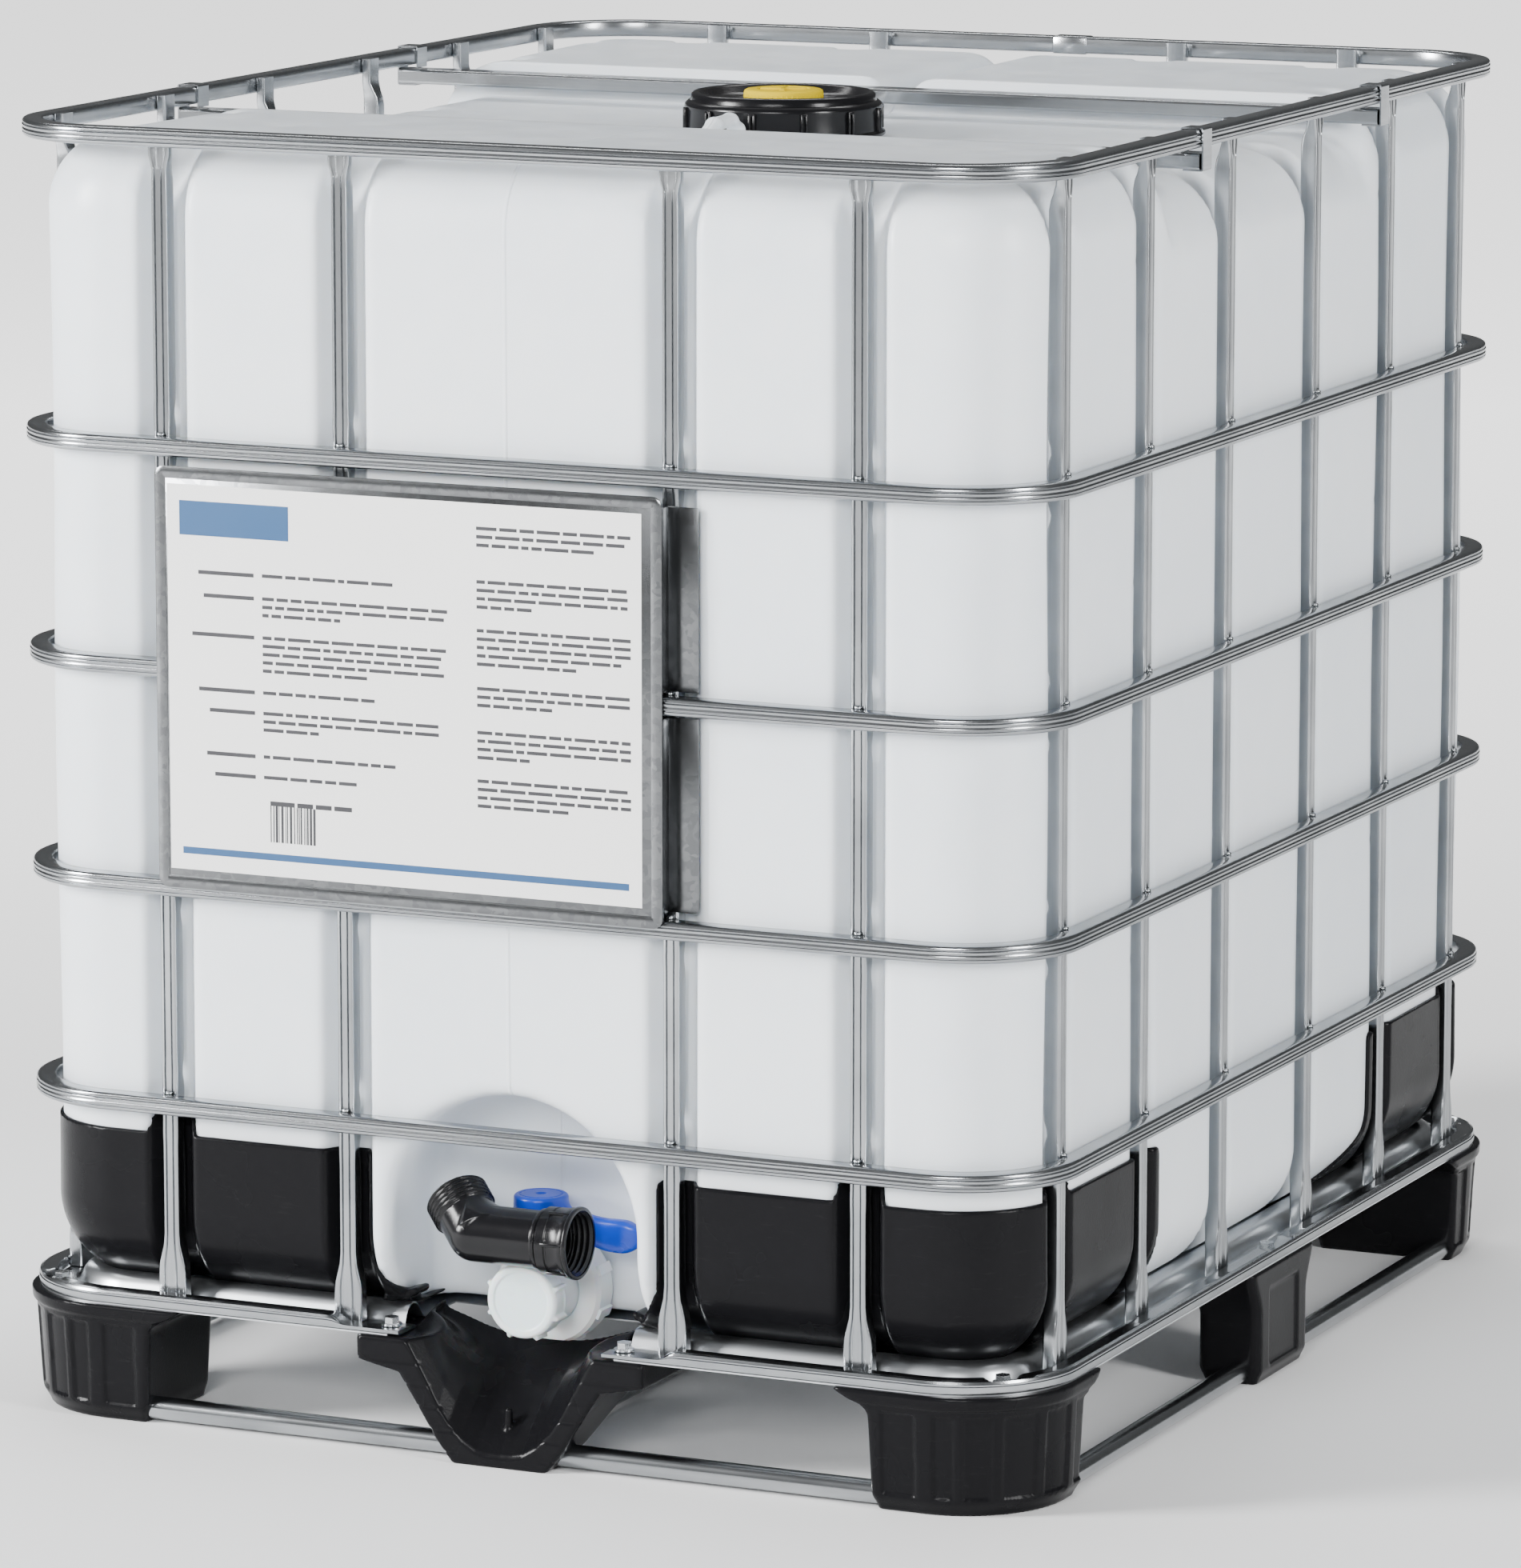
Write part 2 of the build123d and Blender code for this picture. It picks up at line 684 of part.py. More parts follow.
def bung():
    """The screw plug in the middle of the lid, with a raised grip bar on its top."""
    flange = LID_DECK + 2.0
    with BuildPart() as plug:
        add(
            turned(
                [
                    (0, LID_PLATE - 8),
                    (BUNG_HOLE - 0.4, LID_PLATE - 8),
                    (BUNG_HOLE - 0.4, flange),
                    (BUNG_RADIUS, flange),
                    (BUNG_RADIUS, BUNG_TOP - 2),
                    (BUNG_RADIUS - 2, BUNG_TOP),
                    (0, BUNG_TOP),
                ]
            )
        )
        with BuildSketch(Plane.XY.offset(BUNG_TOP)):
            Rectangle(50, 9)
            Rectangle(9, 50)
        extrude(amount=2.0)
        with Locations((0, 0, LID_PLATE - 8)):
            Cylinder(BUNG_HOLE - 4, 20, mode=Mode.SUBTRACT)
    return plug.part


# ================================================================ discharge valve
def along_y(points, x=0.0, z=VALVE_Z):
    """A solid of revolution about the valve's axis from (y, radius) points."""
    with BuildPart() as solid:
        with BuildSketch(Plane.XY.offset(z)):
            with BuildLine():
                Polyline(*[(x + radius, y) for y, radius in points], close=True)
            make_face()
        revolve(axis=Axis((x, 0, z), (0, 1, 0)))
    return solid.part


def valve_body():
    """The butterfly valve's pipe, with its union flange and stem boss."""
    flange = TAP_NECK_END - 0.5
    with BuildPart() as body:
        add(
            along_y(
                [
                    (PIPE_END, PIPE_BORE),
                    (PIPE_END, PIPE_RADIUS),
                    (flange - 8, PIPE_RADIUS),
                    (flange - 8, TAP_NECK_RADIUS - 0.5),
                    (flange, TAP_NECK_RADIUS - 0.5),
                    (flange, PIPE_BORE),
                ]
            )
        )
        with BuildSketch(Plane.XY.offset(VALVE_Z)):
            with Locations((0, STEM_Y)):
                Circle(BOSS_RADIUS)
        extrude(amount=BOSS_TOP - VALVE_Z)
        with BuildSketch(Plane.XZ.offset(-flange)):
            with Locations((0, VALVE_Z)):
                Circle(PIPE_BORE)
        extrude(amount=flange - PIPE_END, mode=Mode.SUBTRACT)
        with Locations((0, STEM_Y, BOSS_TOP)):
            Cylinder(STEM_RADIUS + RUNNING, 100, mode=Mode.SUBTRACT)
    return body.part


def valve_nut():
    """The union nut that draws the valve's flange onto the bottle's tap neck."""
    lip = TAP_NECK_END - 9.0
    back = NICHE_BACK - 5.0
    with BuildPart() as nut:
        add(
            along_y(
                [
                    (lip - 4, PIPE_RADIUS + 0.5),
                    (lip - 4, TAP_NUT_RADIUS - 3),
                    (lip, TAP_NUT_RADIUS),
                    (back, TAP_NUT_RADIUS),
                    (back, TAP_NECK_RADIUS + 0.3),
                    (lip, TAP_NECK_RADIUS + 0.3),
                    (lip, PIPE_RADIUS + 0.5),
                ]
            )
        )
        with BuildSketch(Plane.XZ.offset(-back)):
            with Locations((0, VALVE_Z)):
                with PolarLocations(TAP_NUT_RADIUS, 8, start_angle=22.5):
                    Rectangle(5, 9)
        extrude(amount=back - lip)
    return nut.part


def valve_disc():
    """The butterfly disc, closed across the pipe, with a hub for the stem."""
    with BuildPart() as disc:
        with BuildSketch(Plane.XZ.offset(-STEM_Y - 2)):
            with Locations((0, VALVE_Z)):
                Circle(PIPE_BORE - 0.2)
        extrude(amount=4)
        with Locations((0, STEM_Y, VALVE_Z)):
            Cylinder(STEM_RADIUS + 3, 44)
            Cylinder(STEM_RADIUS + RUNNING, 60, mode=Mode.SUBTRACT)
    return disc.part


def valve_stem():
    """The stem from the disc's foot up into the lever's hub."""
    low = VALVE_Z - 22
    with BuildPart() as stem:
        with Locations((0, STEM_Y, low)):
            Cylinder(
                STEM_RADIUS, HUB_TOP - 8 - low, align=(Align.CENTER, Align.CENTER, Align.MIN)
            )
    return stem.part


def valve_lever():
    """The quarter-turn lever: a round hub on the stem and a drooping handle."""
    droop = [  # distance from the stem, height of the middle, width, height
        (10.0, 203.0, 16.0, 20.0),
        (45.0, 200.0, 15.0, 24.0),
        (80.0, 196.0, 16.0, 27.0),
        (LEVER_REACH, 196.0, 13.0, 24.0),
    ]
    with BuildPart() as lever:
        with BuildSketch(Plane.XY.offset(HUB_LOW)):
            with Locations((0, STEM_Y)):
                Circle(HUB_RADIUS)
        extrude(amount=HUB_TOP - HUB_LOW)
        fillet(lever.faces().sort_by(Axis.Z)[-1].edges(), 2.5)
        profiles = []
        for reach, z, wide, tall in droop:
            with BuildSketch(Plane.YZ.offset(reach)) as profile:
                with Locations((STEM_Y, z)):
                    RectangleRounded(wide, tall, 5)
            profiles.append(profile.sketch)
        loft(profiles, ruled=True)
        with Locations((0, STEM_Y, HUB_LOW)):
            Cylinder(
                STEM_RADIUS + RUNNING, HUB_TOP - 8 - HUB_LOW + RUNNING,
                align=(Align.CENTER, Align.CENTER, Align.MIN), mode=Mode.SUBTRACT,
            )
    return lever.part


def outlet_cap():
    """The screw cap on the valve's outlet, with eight grip lugs."""
    face = PIPE_END - 5.0
    skirt_end = PIPE_END + 17.0
    with BuildPart() as cap:
        add(
            along_y(
                [
                    (face, 0),
                    (face, CAP_RADIUS - 2),
                    (face + 2, CAP_RADIUS),
                    (skirt_end, CAP_RADIUS),
                    (skirt_end, PIPE_RADIUS + 0.4),
                    (face + 2.5, PIPE_RADIUS + 0.4),
                    (face + 2.5, 0),
                ]
            )
        )
        with BuildSketch(Plane.XZ.offset(-skirt_end)):
            with Locations((0, VALVE_Z)):
                with PolarLocations(CAP_RADIUS, 8, start_angle=22.5):
                    Rectangle(2 * (CAP_LUG_RADIUS - CAP_RADIUS), 6)
        extrude(amount=skirt_end - face - 4)
    return cap.part


def spout_elbow():
    """The pouring spout stored across the outlet: a bent tube with a threaded end."""
    rise = radians(SPOUT_RISE)
    lean = radians(SPOUT_LEAN)
    aim = Vector(-cos(rise), sin(rise) * sin(lean), sin(rise) * cos(lean))
    bend = Vector(-36.0, SPOUT_Y, SPOUT_Z)
    end = bend + aim * 44.0
    with BuildPart() as elbow:
        with BuildLine() as path:
            FilletPolyline((44, SPOUT_Y, SPOUT_Z), bend, end, radius=28)
        with BuildSketch(Plane((44, SPOUT_Y, SPOUT_Z), z_dir=(-1, 0, 0))):
            Circle(SPOUT_RADIUS)
            Circle(SPOUT_BORE, mode=Mode.SUBTRACT)
        sweep(path=path.wires()[0])
        with BuildSketch(Plane((42, SPOUT_Y, SPOUT_Z), z_dir=(1, 0, 0))):
            Circle(SPOUT_THREAD_RADIUS - 1.2)
            Circle(SPOUT_BORE, mode=Mode.SUBTRACT)
        extrude(amount=3)
        with BuildSketch(Plane(end, z_dir=aim)):
            Circle(SPOUT_RADIUS + 1.5)
            Circle(SPOUT_BORE, mode=Mode.SUBTRACT)
        extrude(amount=-18)
    return elbow.part


def spout_nut():
    """The spout's loose coupling nut, open towards +X."""
    lip = 33.0
    shoulder = 40.5
    thread = 46.0
    mouth = 64.0
    with BuildPart() as nut:
        with BuildSketch(Plane.YZ.offset(lip)):
            with Locations((SPOUT_Y, SPOUT_Z)):
                Circle(SPOUT_NUT_RADIUS)
        extrude(amount=mouth - lip)
        with BuildSketch(Plane.YZ.offset(lip)):
            with Locations((SPOUT_Y, SPOUT_Z)):
                Circle(SPOUT_RADIUS + 0.4)
        extrude(amount=mouth - lip, mode=Mode.SUBTRACT)
        for start, end, radius in (
            (shoulder, thread, SPOUT_THREAD_RADIUS + 0.5),
            (thread, mouth, SPOUT_THREAD_RADIUS),
        ):
            with BuildSketch(Plane.YZ.offset(start)):
                with Locations((SPOUT_Y, SPOUT_Z)):
                    Circle(radius)
            extrude(amount=end - start, mode=Mode.SUBTRACT)
    return nut.part


# ================================================================ build every node
for number, ring_middle in enumerate(RING_MIDDLES, 1):
    save(cage_ring(ring_middle), f"cage_ring_{number}")

for upright_name, upright_plane in upright_feet():
    save(upright(upright_plane), upright_name)

save(base_ring(), "base_ring")
save(crossbar(-CROSSBAR_Y), "crossbar_front")
save(crossbar(CROSSBAR_Y), "crossbar_rear")
straps = [crossbar_strap(side, y) for side in (-1, 1) for y in (-CROSSBAR_Y, CROSSBAR_Y)]
save(Compound(children=straps), "crossbar_straps")
save(label_plate(), "label_plate")

save(pallet_pan(), "pallet_pan")
save(skid_frame(), "skid_frame")
foot_cuts = [skid_channels(), bolt_bores()]
for end_name, end_side in (("front", -1), ("rear", 1)):
    for hand_name, hand in (("left", -1), ("right", 1)):
        save(corner_foot(hand, end_side, foot_cuts), f"foot_{end_name}_{hand_name}")
for hand_name, hand in (("left", -1), ("right", 1)):
    side_top = (hand * 448, 0, 104, 156)
    side_low = (hand * 468, 0, 60, 124)
    save(block_foot(side_top, side_low, foot_cuts, (hand * 480, 0)), f"foot_{hand_name}")
save(block_foot((0, 540, 156, 120), (0, 566, 124, 64), foot_cuts, (0, 580)), "foot_rear")
save(block_foot((0, 0, 150, 150), (0, 0, 116, 116), foot_cuts), "foot_centre")
save(well_foot(foot_cuts), "foot_front_well")
bolts = [pallet_bolt(x, y, DECK + CUP_FLOOR) for x, y in cup_places()]
bolts += [pallet_bolt(x, y, DECK + TAB_THICK) for x, y in tab_places()]
save(Compound(children=bolts), "pallet_bolts")

save(bottle(), "bottle")
with BuildPart() as bumper_shell:
    add(bottle_form(BUMPER_GAP + BUMPER_SKIN))
    add(bottle_form(BUMPER_GAP), mode=Mode.SUBTRACT)
for end_name, end_side in (("front", -1), ("rear", 1)):
    for hand_name, hand in (("left", -1), ("right", 1)):
        guard_part = bumper(bumper_shell.part, hand, end_side)
        save(guard_part, f"bumper_{end_name}_{hand_name}")

save(lid(), "lid")
save(ring_solid(NECK_RADIUS, NECK_BORE + 0.5, NECK_TOP, LID_PLATE), "lid_gasket")
save(bung(), "bung")
save(ring_solid(BUNG_RADIUS - 1, BUNG_HOLE + 0.5, LID_DECK, LID_DECK + 2), "bung_seal")

save(valve_body(), "valve_body")
save(valve_nut(), "valve_nut")
save(valve_disc(), "valve_disc")
save(valve_stem(), "valve_stem")
save(valve_lever(), "valve_lever")
save(outlet_cap(), "outlet_cap")
save(
    along_y([
        (PIPE_END - 2.5, PIPE_BORE - 1),
        (PIPE_END - 2.5, PIPE_RADIUS - 0.5),
        (PIPE_END, PIPE_RADIUS - 0.5),
        (PIPE_END, PIPE_BORE - 1),
    ]),
    "outlet_seal",
)
save(spout_elbow(), "spout_elbow")
save(spout_nut(), "spout_nut")
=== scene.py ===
"""Looks of the caged bulk container: visible pieces, materials, light and camera.

Fields and sections are worked out in millimetres in the CAD frame; meshes are in metres.
"""

import json
from math import cos, pi, radians, sin

import bmesh
import bpy
import numpy as np
from mathutils import Matrix, Vector


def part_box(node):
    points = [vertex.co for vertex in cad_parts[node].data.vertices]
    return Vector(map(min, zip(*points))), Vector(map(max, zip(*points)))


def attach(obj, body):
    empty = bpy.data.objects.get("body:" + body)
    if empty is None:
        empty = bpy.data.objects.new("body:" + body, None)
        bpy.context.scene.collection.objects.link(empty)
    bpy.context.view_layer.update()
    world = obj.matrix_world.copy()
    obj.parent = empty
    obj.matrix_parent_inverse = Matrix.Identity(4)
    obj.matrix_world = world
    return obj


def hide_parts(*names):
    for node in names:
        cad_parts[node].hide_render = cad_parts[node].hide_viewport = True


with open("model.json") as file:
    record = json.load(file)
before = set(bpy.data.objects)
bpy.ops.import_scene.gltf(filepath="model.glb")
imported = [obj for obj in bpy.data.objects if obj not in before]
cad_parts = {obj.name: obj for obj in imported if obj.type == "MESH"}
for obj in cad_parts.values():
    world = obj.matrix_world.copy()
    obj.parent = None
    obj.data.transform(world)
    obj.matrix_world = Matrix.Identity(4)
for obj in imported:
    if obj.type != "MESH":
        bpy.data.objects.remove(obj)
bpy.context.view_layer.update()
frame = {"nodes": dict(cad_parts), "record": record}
NODES = frame["nodes"]
BODY_OF = {
    node: body
    for body, members in frame["record"]["behaviour"]["bodies"].items()
    for node in members
}
SLOT_OF = {part["node"]: part["material_slot"] for part in frame["record"]["subparts"]}
MM = 0.001
ENDS = (("front", -1), ("rear", 1))
OUTWARD = {"front": (0, -1), "rear": (0, 1), "left": (-1, 0), "right": (1, 0)}


def box_mm(node):
    """Lowest and highest corner of a CAD node, in millimetres."""
    low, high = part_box(node)
    return np.array(low) / MM, np.array(high) / MM


def middle_mm(node):
    """Middle of a CAD node's box, in millimetres."""
    low, high = box_mm(node)
    return (low + high) / 2


# ================================================================ materials
class Shader:
    """A short way to write a Principled node tree in object coordinates."""

    def __init__(self, name, **values):
        self.material = bpy.data.materials.new(name)
        self.material.use_nodes = True
        self.tree = self.material.node_tree
        self.bsdf = self.tree.nodes["Principled BSDF"]
        self.place = self.node("ShaderNodeTexCoord").outputs["Object"]
        for key, value in values.items():
            self.set(self.bsdf, key.replace("_", " "), value)

    def set(self, node, key, value):
        """Sets or links one input; key is a name or an index."""
        socket = node.inputs[key]
        if isinstance(value, bpy.types.NodeSocket):
            self.tree.links.new(value, socket)
        else:
            socket.default_value = value

    def node(self, kind, inputs=(), **settings):
        """A new node with settings and (name, value) inputs."""
        made = self.tree.nodes.new(kind)
        for key, value in settings.items():
            setattr(made, key, value)
        for key, value in dict(inputs).items():
            self.set(made, key, value)
        return made

    def stretched(self, x, y, z):
        """Object coordinates, scaled."""
        scale = self.node("ShaderNodeMapping", {"Vector": self.place})
        scale.inputs["Scale"].default_value = (x, y, z)
        return scale.outputs[0]

    def noise(self, scale, detail=3.0, vector=None, rough=0.55):
        """Noise, from 0 to 1."""
        inputs = {"Vector": vector or self.place, "Scale": scale, "Detail": detail}
        inputs["Roughness"] = rough
        return self.node("ShaderNodeTexNoise", inputs).outputs["Fac"]

    def cells(self, scale, vector):
        """Voronoi cells, each with its own colour."""
        inputs = {"Vector": vector, "Scale": scale}
        return self.node("ShaderNodeTexVoronoi", inputs).outputs["Color"]

    def remap(self, value, low, high, out_low, out_high):
        """A clamped linear map."""
        inputs = {"Value": value, "From Min": low, "From Max": high}
        inputs.update({"To Min": out_low, "To Max": out_high})
        return self.node("ShaderNodeMapRange", inputs).outputs[0]

    def ramp(self, value, *stops):
        """A colour ramp from (position, colour) stops."""
        ramp = self.node("ShaderNodeValToRGB", {"Fac": value})
        elements = ramp.color_ramp.elements
        while len(elements) < len(stops):
            elements.new(0.5)
        for element, (position, colour) in zip(elements, stops):
            element.position = position
            element.color = (*colour, 1.0)
        return ramp.outputs["Color"]

    def maths(self, operation, a, b=0.0):
        """One math node."""
        return self.node("ShaderNodeMath", {0: a, 1: b}, operation=operation).outputs[0]

    def shared(self, a, share, b):
        """A share of a, with b for the rest."""
        parts = self.maths("MULTIPLY", a, share), self.maths("MULTIPLY", b, 1 - share)
        return self.maths("ADD", *parts)

    def bump(self, height, strength, distance, normal=None):
        """A bump, optionally on top of another."""
        inputs = {"Height": height, "Strength": strength, "Distance": distance}
        if normal is not None:
            inputs["Normal"] = normal
        return self.node("ShaderNodeBump", inputs).outputs[0]

    def finish(self, **sockets):
        """Links sockets into the Principled node."""
        for key, value in sockets.items():
            self.set(self.bsdf, key.replace("_", " "), value)
        return self.material


def galvanised_tube(name, along):
    """Zinc-coated tube: drawn streaks along its length, faint clouding and dull patches."""
    s = Shader(name, Metallic=1.0)
    along_scale, across_scale = 6.0, 300.0
    streaks = s.noise(1.0, 2.0, s.stretched(*[along_scale if a else across_scale for a in along]))
    clouds = s.noise(11.0, 3.0)
    mixed = s.shared(streaks, 0.25, clouds)
    colour = s.ramp(mixed, (0.30, (0.28, 0.295, 0.31)), (0.52, (0.37, 0.385, 0.40)),
                    (0.75, (0.47, 0.485, 0.50)))
    rough = s.remap(mixed, 0.3, 0.7, 0.27, 0.17)
    grain = s.bump(streaks, 0.03, 0.0003)
    grain = s.bump(s.noise(40.0, 2.0), 0.08, 0.0008, grain)
    return s.finish(Base_Color=colour, Roughness=rough, Normal=grain)


def galvanised_sheet(name, spangle, tone=1.0, spread=0.10, rough=0.26):
    """Hot-dip sheet with crystalline spangle, each crystal with its own shade and gloss."""
    s = Shader(name, Metallic=1.0)
    wander = s.node("ShaderNodeMix", data_type="VECTOR")
    s.set(wander, "Factor", 0.02)
    s.tree.links.new(s.place, wander.inputs[4])
    s.tree.links.new(s.node("ShaderNodeTexNoise", {"Scale": 30.0}).outputs["Color"],
                     wander.inputs[5])
    crystal = s.cells(spangle, wander.outputs[1])
    grey = s.node("ShaderNodeSeparateColor", {"Color": crystal}).outputs[0]
    # tone lightens or darkens the whole sheet; the pan's and the plate's tones below carry painted
    # light and painted shade
    shades = [[tone * (c + d) for c in (0.56, 0.58, 0.60)] for d in (-spread, 0.0, spread)]
    colour = s.ramp(grey, *zip((0.0, 0.5, 1.0), shades))
    rough = s.remap(grey, 0.0, 1.0, rough + 0.3 * spread, rough - 0.3 * spread)
    waves = s.bump(s.noise(6.0, 1.0), 0.10, 0.004)
    return s.finish(Base_Color=colour, Roughness=rough, Normal=waves)


def moulded(name, colour, rough, grain=900.0, grain_depth=0.00012, scuff=0.35, **more):
    """Injection-moulded plastic: fine grain, flow marks and light scuffs."""
    s = Shader(name, **more)
    flow = s.noise(9.0, 3.0)
    scratches = s.noise(1.0, 6.0, s.stretched(35.0, 40.0, 260.0), 0.7)
    worn = s.remap(scratches, 0.60, 0.74, 0.0, scuff)
    lighter = tuple(min(1.0, 0.75 * c + 0.10) for c in colour)
    mix = s.node("ShaderNodeMix", data_type="RGBA")
    s.set(mix, 0, worn)
    s.set(mix, 6, (*colour, 1.0))
    s.set(mix, 7, (*lighter, 1.0))
    rough_out = s.remap(s.maths("ADD", flow, worn), 0.35, 0.95, rough - 0.06, rough + 0.14)
    normal = s.bump(s.noise(grain, 2.0), 0.5, grain_depth)
    normal = s.bump(flow, 0.05, 0.002, normal)
    return s.finish(Base_Color=mix.outputs[2], Roughness=rough_out, Normal=normal)


def bottle_plastic(name):
    """Natural blow-moulded polyethylene: cool, milky, faintly clouded, with a parting line."""
    s = Shader(name, Subsurface_Weight=0.25, Subsurface_Scale=0.012, IOR=1.5)
    s.bsdf.inputs["Subsurface Radius"].default_value = (0.75, 0.85, 1.0)
    clouds = s.noise(2.2, 4.0)
    fine = s.noise(26.0, 4.0)
    mixed = s.shared(clouds, 0.7, fine)
    colour = s.ramp(mixed, (0.3, (0.78, 0.835, 0.89)), (0.55, (0.84, 0.885, 0.93)),
                    (0.8, (0.89, 0.925, 0.96)))
    x = s.node("ShaderNodeSeparateXYZ", {"Vector": s.place}).outputs["X"]
    seam = s.remap(s.maths("ABSOLUTE", x), 0.0006, 0.0022, 1.0, 0.0)
    normal = s.bump(seam, 0.7, 0.0012)
    normal = s.bump(s.noise(5.0, 3.0), 0.30, 0.010, normal)
    normal = s.bump(s.noise(150.0, 2.0), 0.12, 0.0004, normal)
    return s.finish(Base_Color=colour, Roughness=s.remap(fine, 0.3, 0.7, 0.30, 0.42),
                    Normal=normal)


MATERIALS = {
    "tube_x": galvanised_tube("galvanised_tube_across", (1, 1, 0)),
    "tube_z": galvanised_tube("galvanised_tube_upright", (0, 0, 1)),
    # The pan's sheet is lifted to tone 1.2: zinc colour, partly painted light for the bright bead.
    "sheet": galvanised_sheet("galvanised_sheet", 120.0, 1.2, 0.015, 0.30),
    # The plate's copy of the sheet is darkened to tone 0.30: painted shade, standing in for the
    # dark reflection along its hem.
    "plate": galvanised_sheet("spangled_plate_painted_dark", 150.0, 0.30, 0.10, 0.24),
    "bottle": bottle_plastic("natural_polyethylene"),
    "black": moulded("black_polyethylene", (0.006, 0.006, 0.007), 0.26, 500.0, 0.0002, 0.05,
                     Specular_IOR_Level=0.10),
    "gloss": moulded("glossy_black", (0.006, 0.006, 0.007), 0.25, scuff=0.04,
                     Specular_IOR_Level=0.3),
    "rubber": moulded("seal_rubber", (0.03, 0.03, 0.03), 0.55),
    "yellow": moulded("yellow_plastic", (0.72, 0.52, 0.0), 0.5, scuff=0.0,
                      Specular_IOR_Level=0.03),
    "white": moulded("white_plastic", (0.86, 0.87, 0.885), 0.33, scuff=0.05,
                     Subsurface_Weight=0.4, Subsurface_Scale=0.01),
    "blue": moulded("blue_plastic", (0.002, 0.045, 0.50), 0.30, scuff=0.1,
                    Subsurface_Weight=0.1, Subsurface_Scale=0.004),
    "bolt": galvanised_sheet("zinc_bolt", 900.0),
    "paper": moulded("label_paper", (0.88, 0.88, 0.87), 0.42, scuff=0.05),
    "ink": moulded("label_ink", (0.03, 0.03, 0.035), 0.5, scuff=0.0),
    "band": moulded("label_band", (0.02, 0.08, 0.20), 0.45, scuff=0.0),
}
MATERIAL_OF_SLOT = {
    "black_polyethylene": "black", "galvanised_tube": "tube_x", "galvanised_sheet": "sheet",
    "zinc_bolt": "bolt", "natural_polyethylene": "bottle", "black_cap": "gloss",
    "seal_rubber": "rubber", "yellow_plastic": "yellow", "white_plastic": "white",
    "valve_stem_plastic": "white", "blue_plastic": "blue",
}
for node_name, node_object in NODES.items():
    node_object.data.materials.clear()
    key = "tube_z" if node_name.startswith("upright") else MATERIAL_OF_SLOT[SLOT_OF[node_name]]
    node_object.data.materials.append(MATERIALS[key])


# ================================================================ mesh helpers
def linked(name, data):
    """A new object in the scene."""
    made = bpy.data.objects.new(name, data)
    bpy.context.scene.collection.objects.link(made)
    return made


def make_piece(name, points, faces, material, node=None, on=None, slot=None, smooth=True,
               angle=None):
    """A mesh object from millimetre points; it stands for node, or only rides with the node on."""
    mesh = bpy.data.meshes.new(name)
    points = np.asarray(points, float) * MM
    if isinstance(faces, np.ndarray):
        mesh.vertices.add(len(points))
        mesh.vertices.foreach_set("co", points.ravel())
        mesh.loops.add(faces.size)
        mesh.loops.foreach_set("vertex_index", faces.ravel())
        mesh.polygons.add(len(faces))
        mesh.polygons.foreach_set("loop_start", np.arange(0, faces.size, faces.shape[1]))
        mesh.update(calc_edges=True)
        mesh.validate()
    else:
        mesh.from_pydata(points.tolist(), [], faces)
        shape = bmesh.new()
        shape.from_mesh(mesh)
        bmesh.ops.recalc_face_normals(shape, faces=shape.faces)
        shape.to_mesh(mesh)
        shape.free()
    if smooth:
        mesh.polygons.foreach_set("use_smooth", [True] * len(mesh.polygons))
    if angle is not None:
        mesh.set_sharp_from_angle(angle=radians(angle))
    mesh.materials.append(MATERIALS[material])
    made = linked(name, mesh)
    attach(made, BODY_OF[node or on])
    if node:
        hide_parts(node)


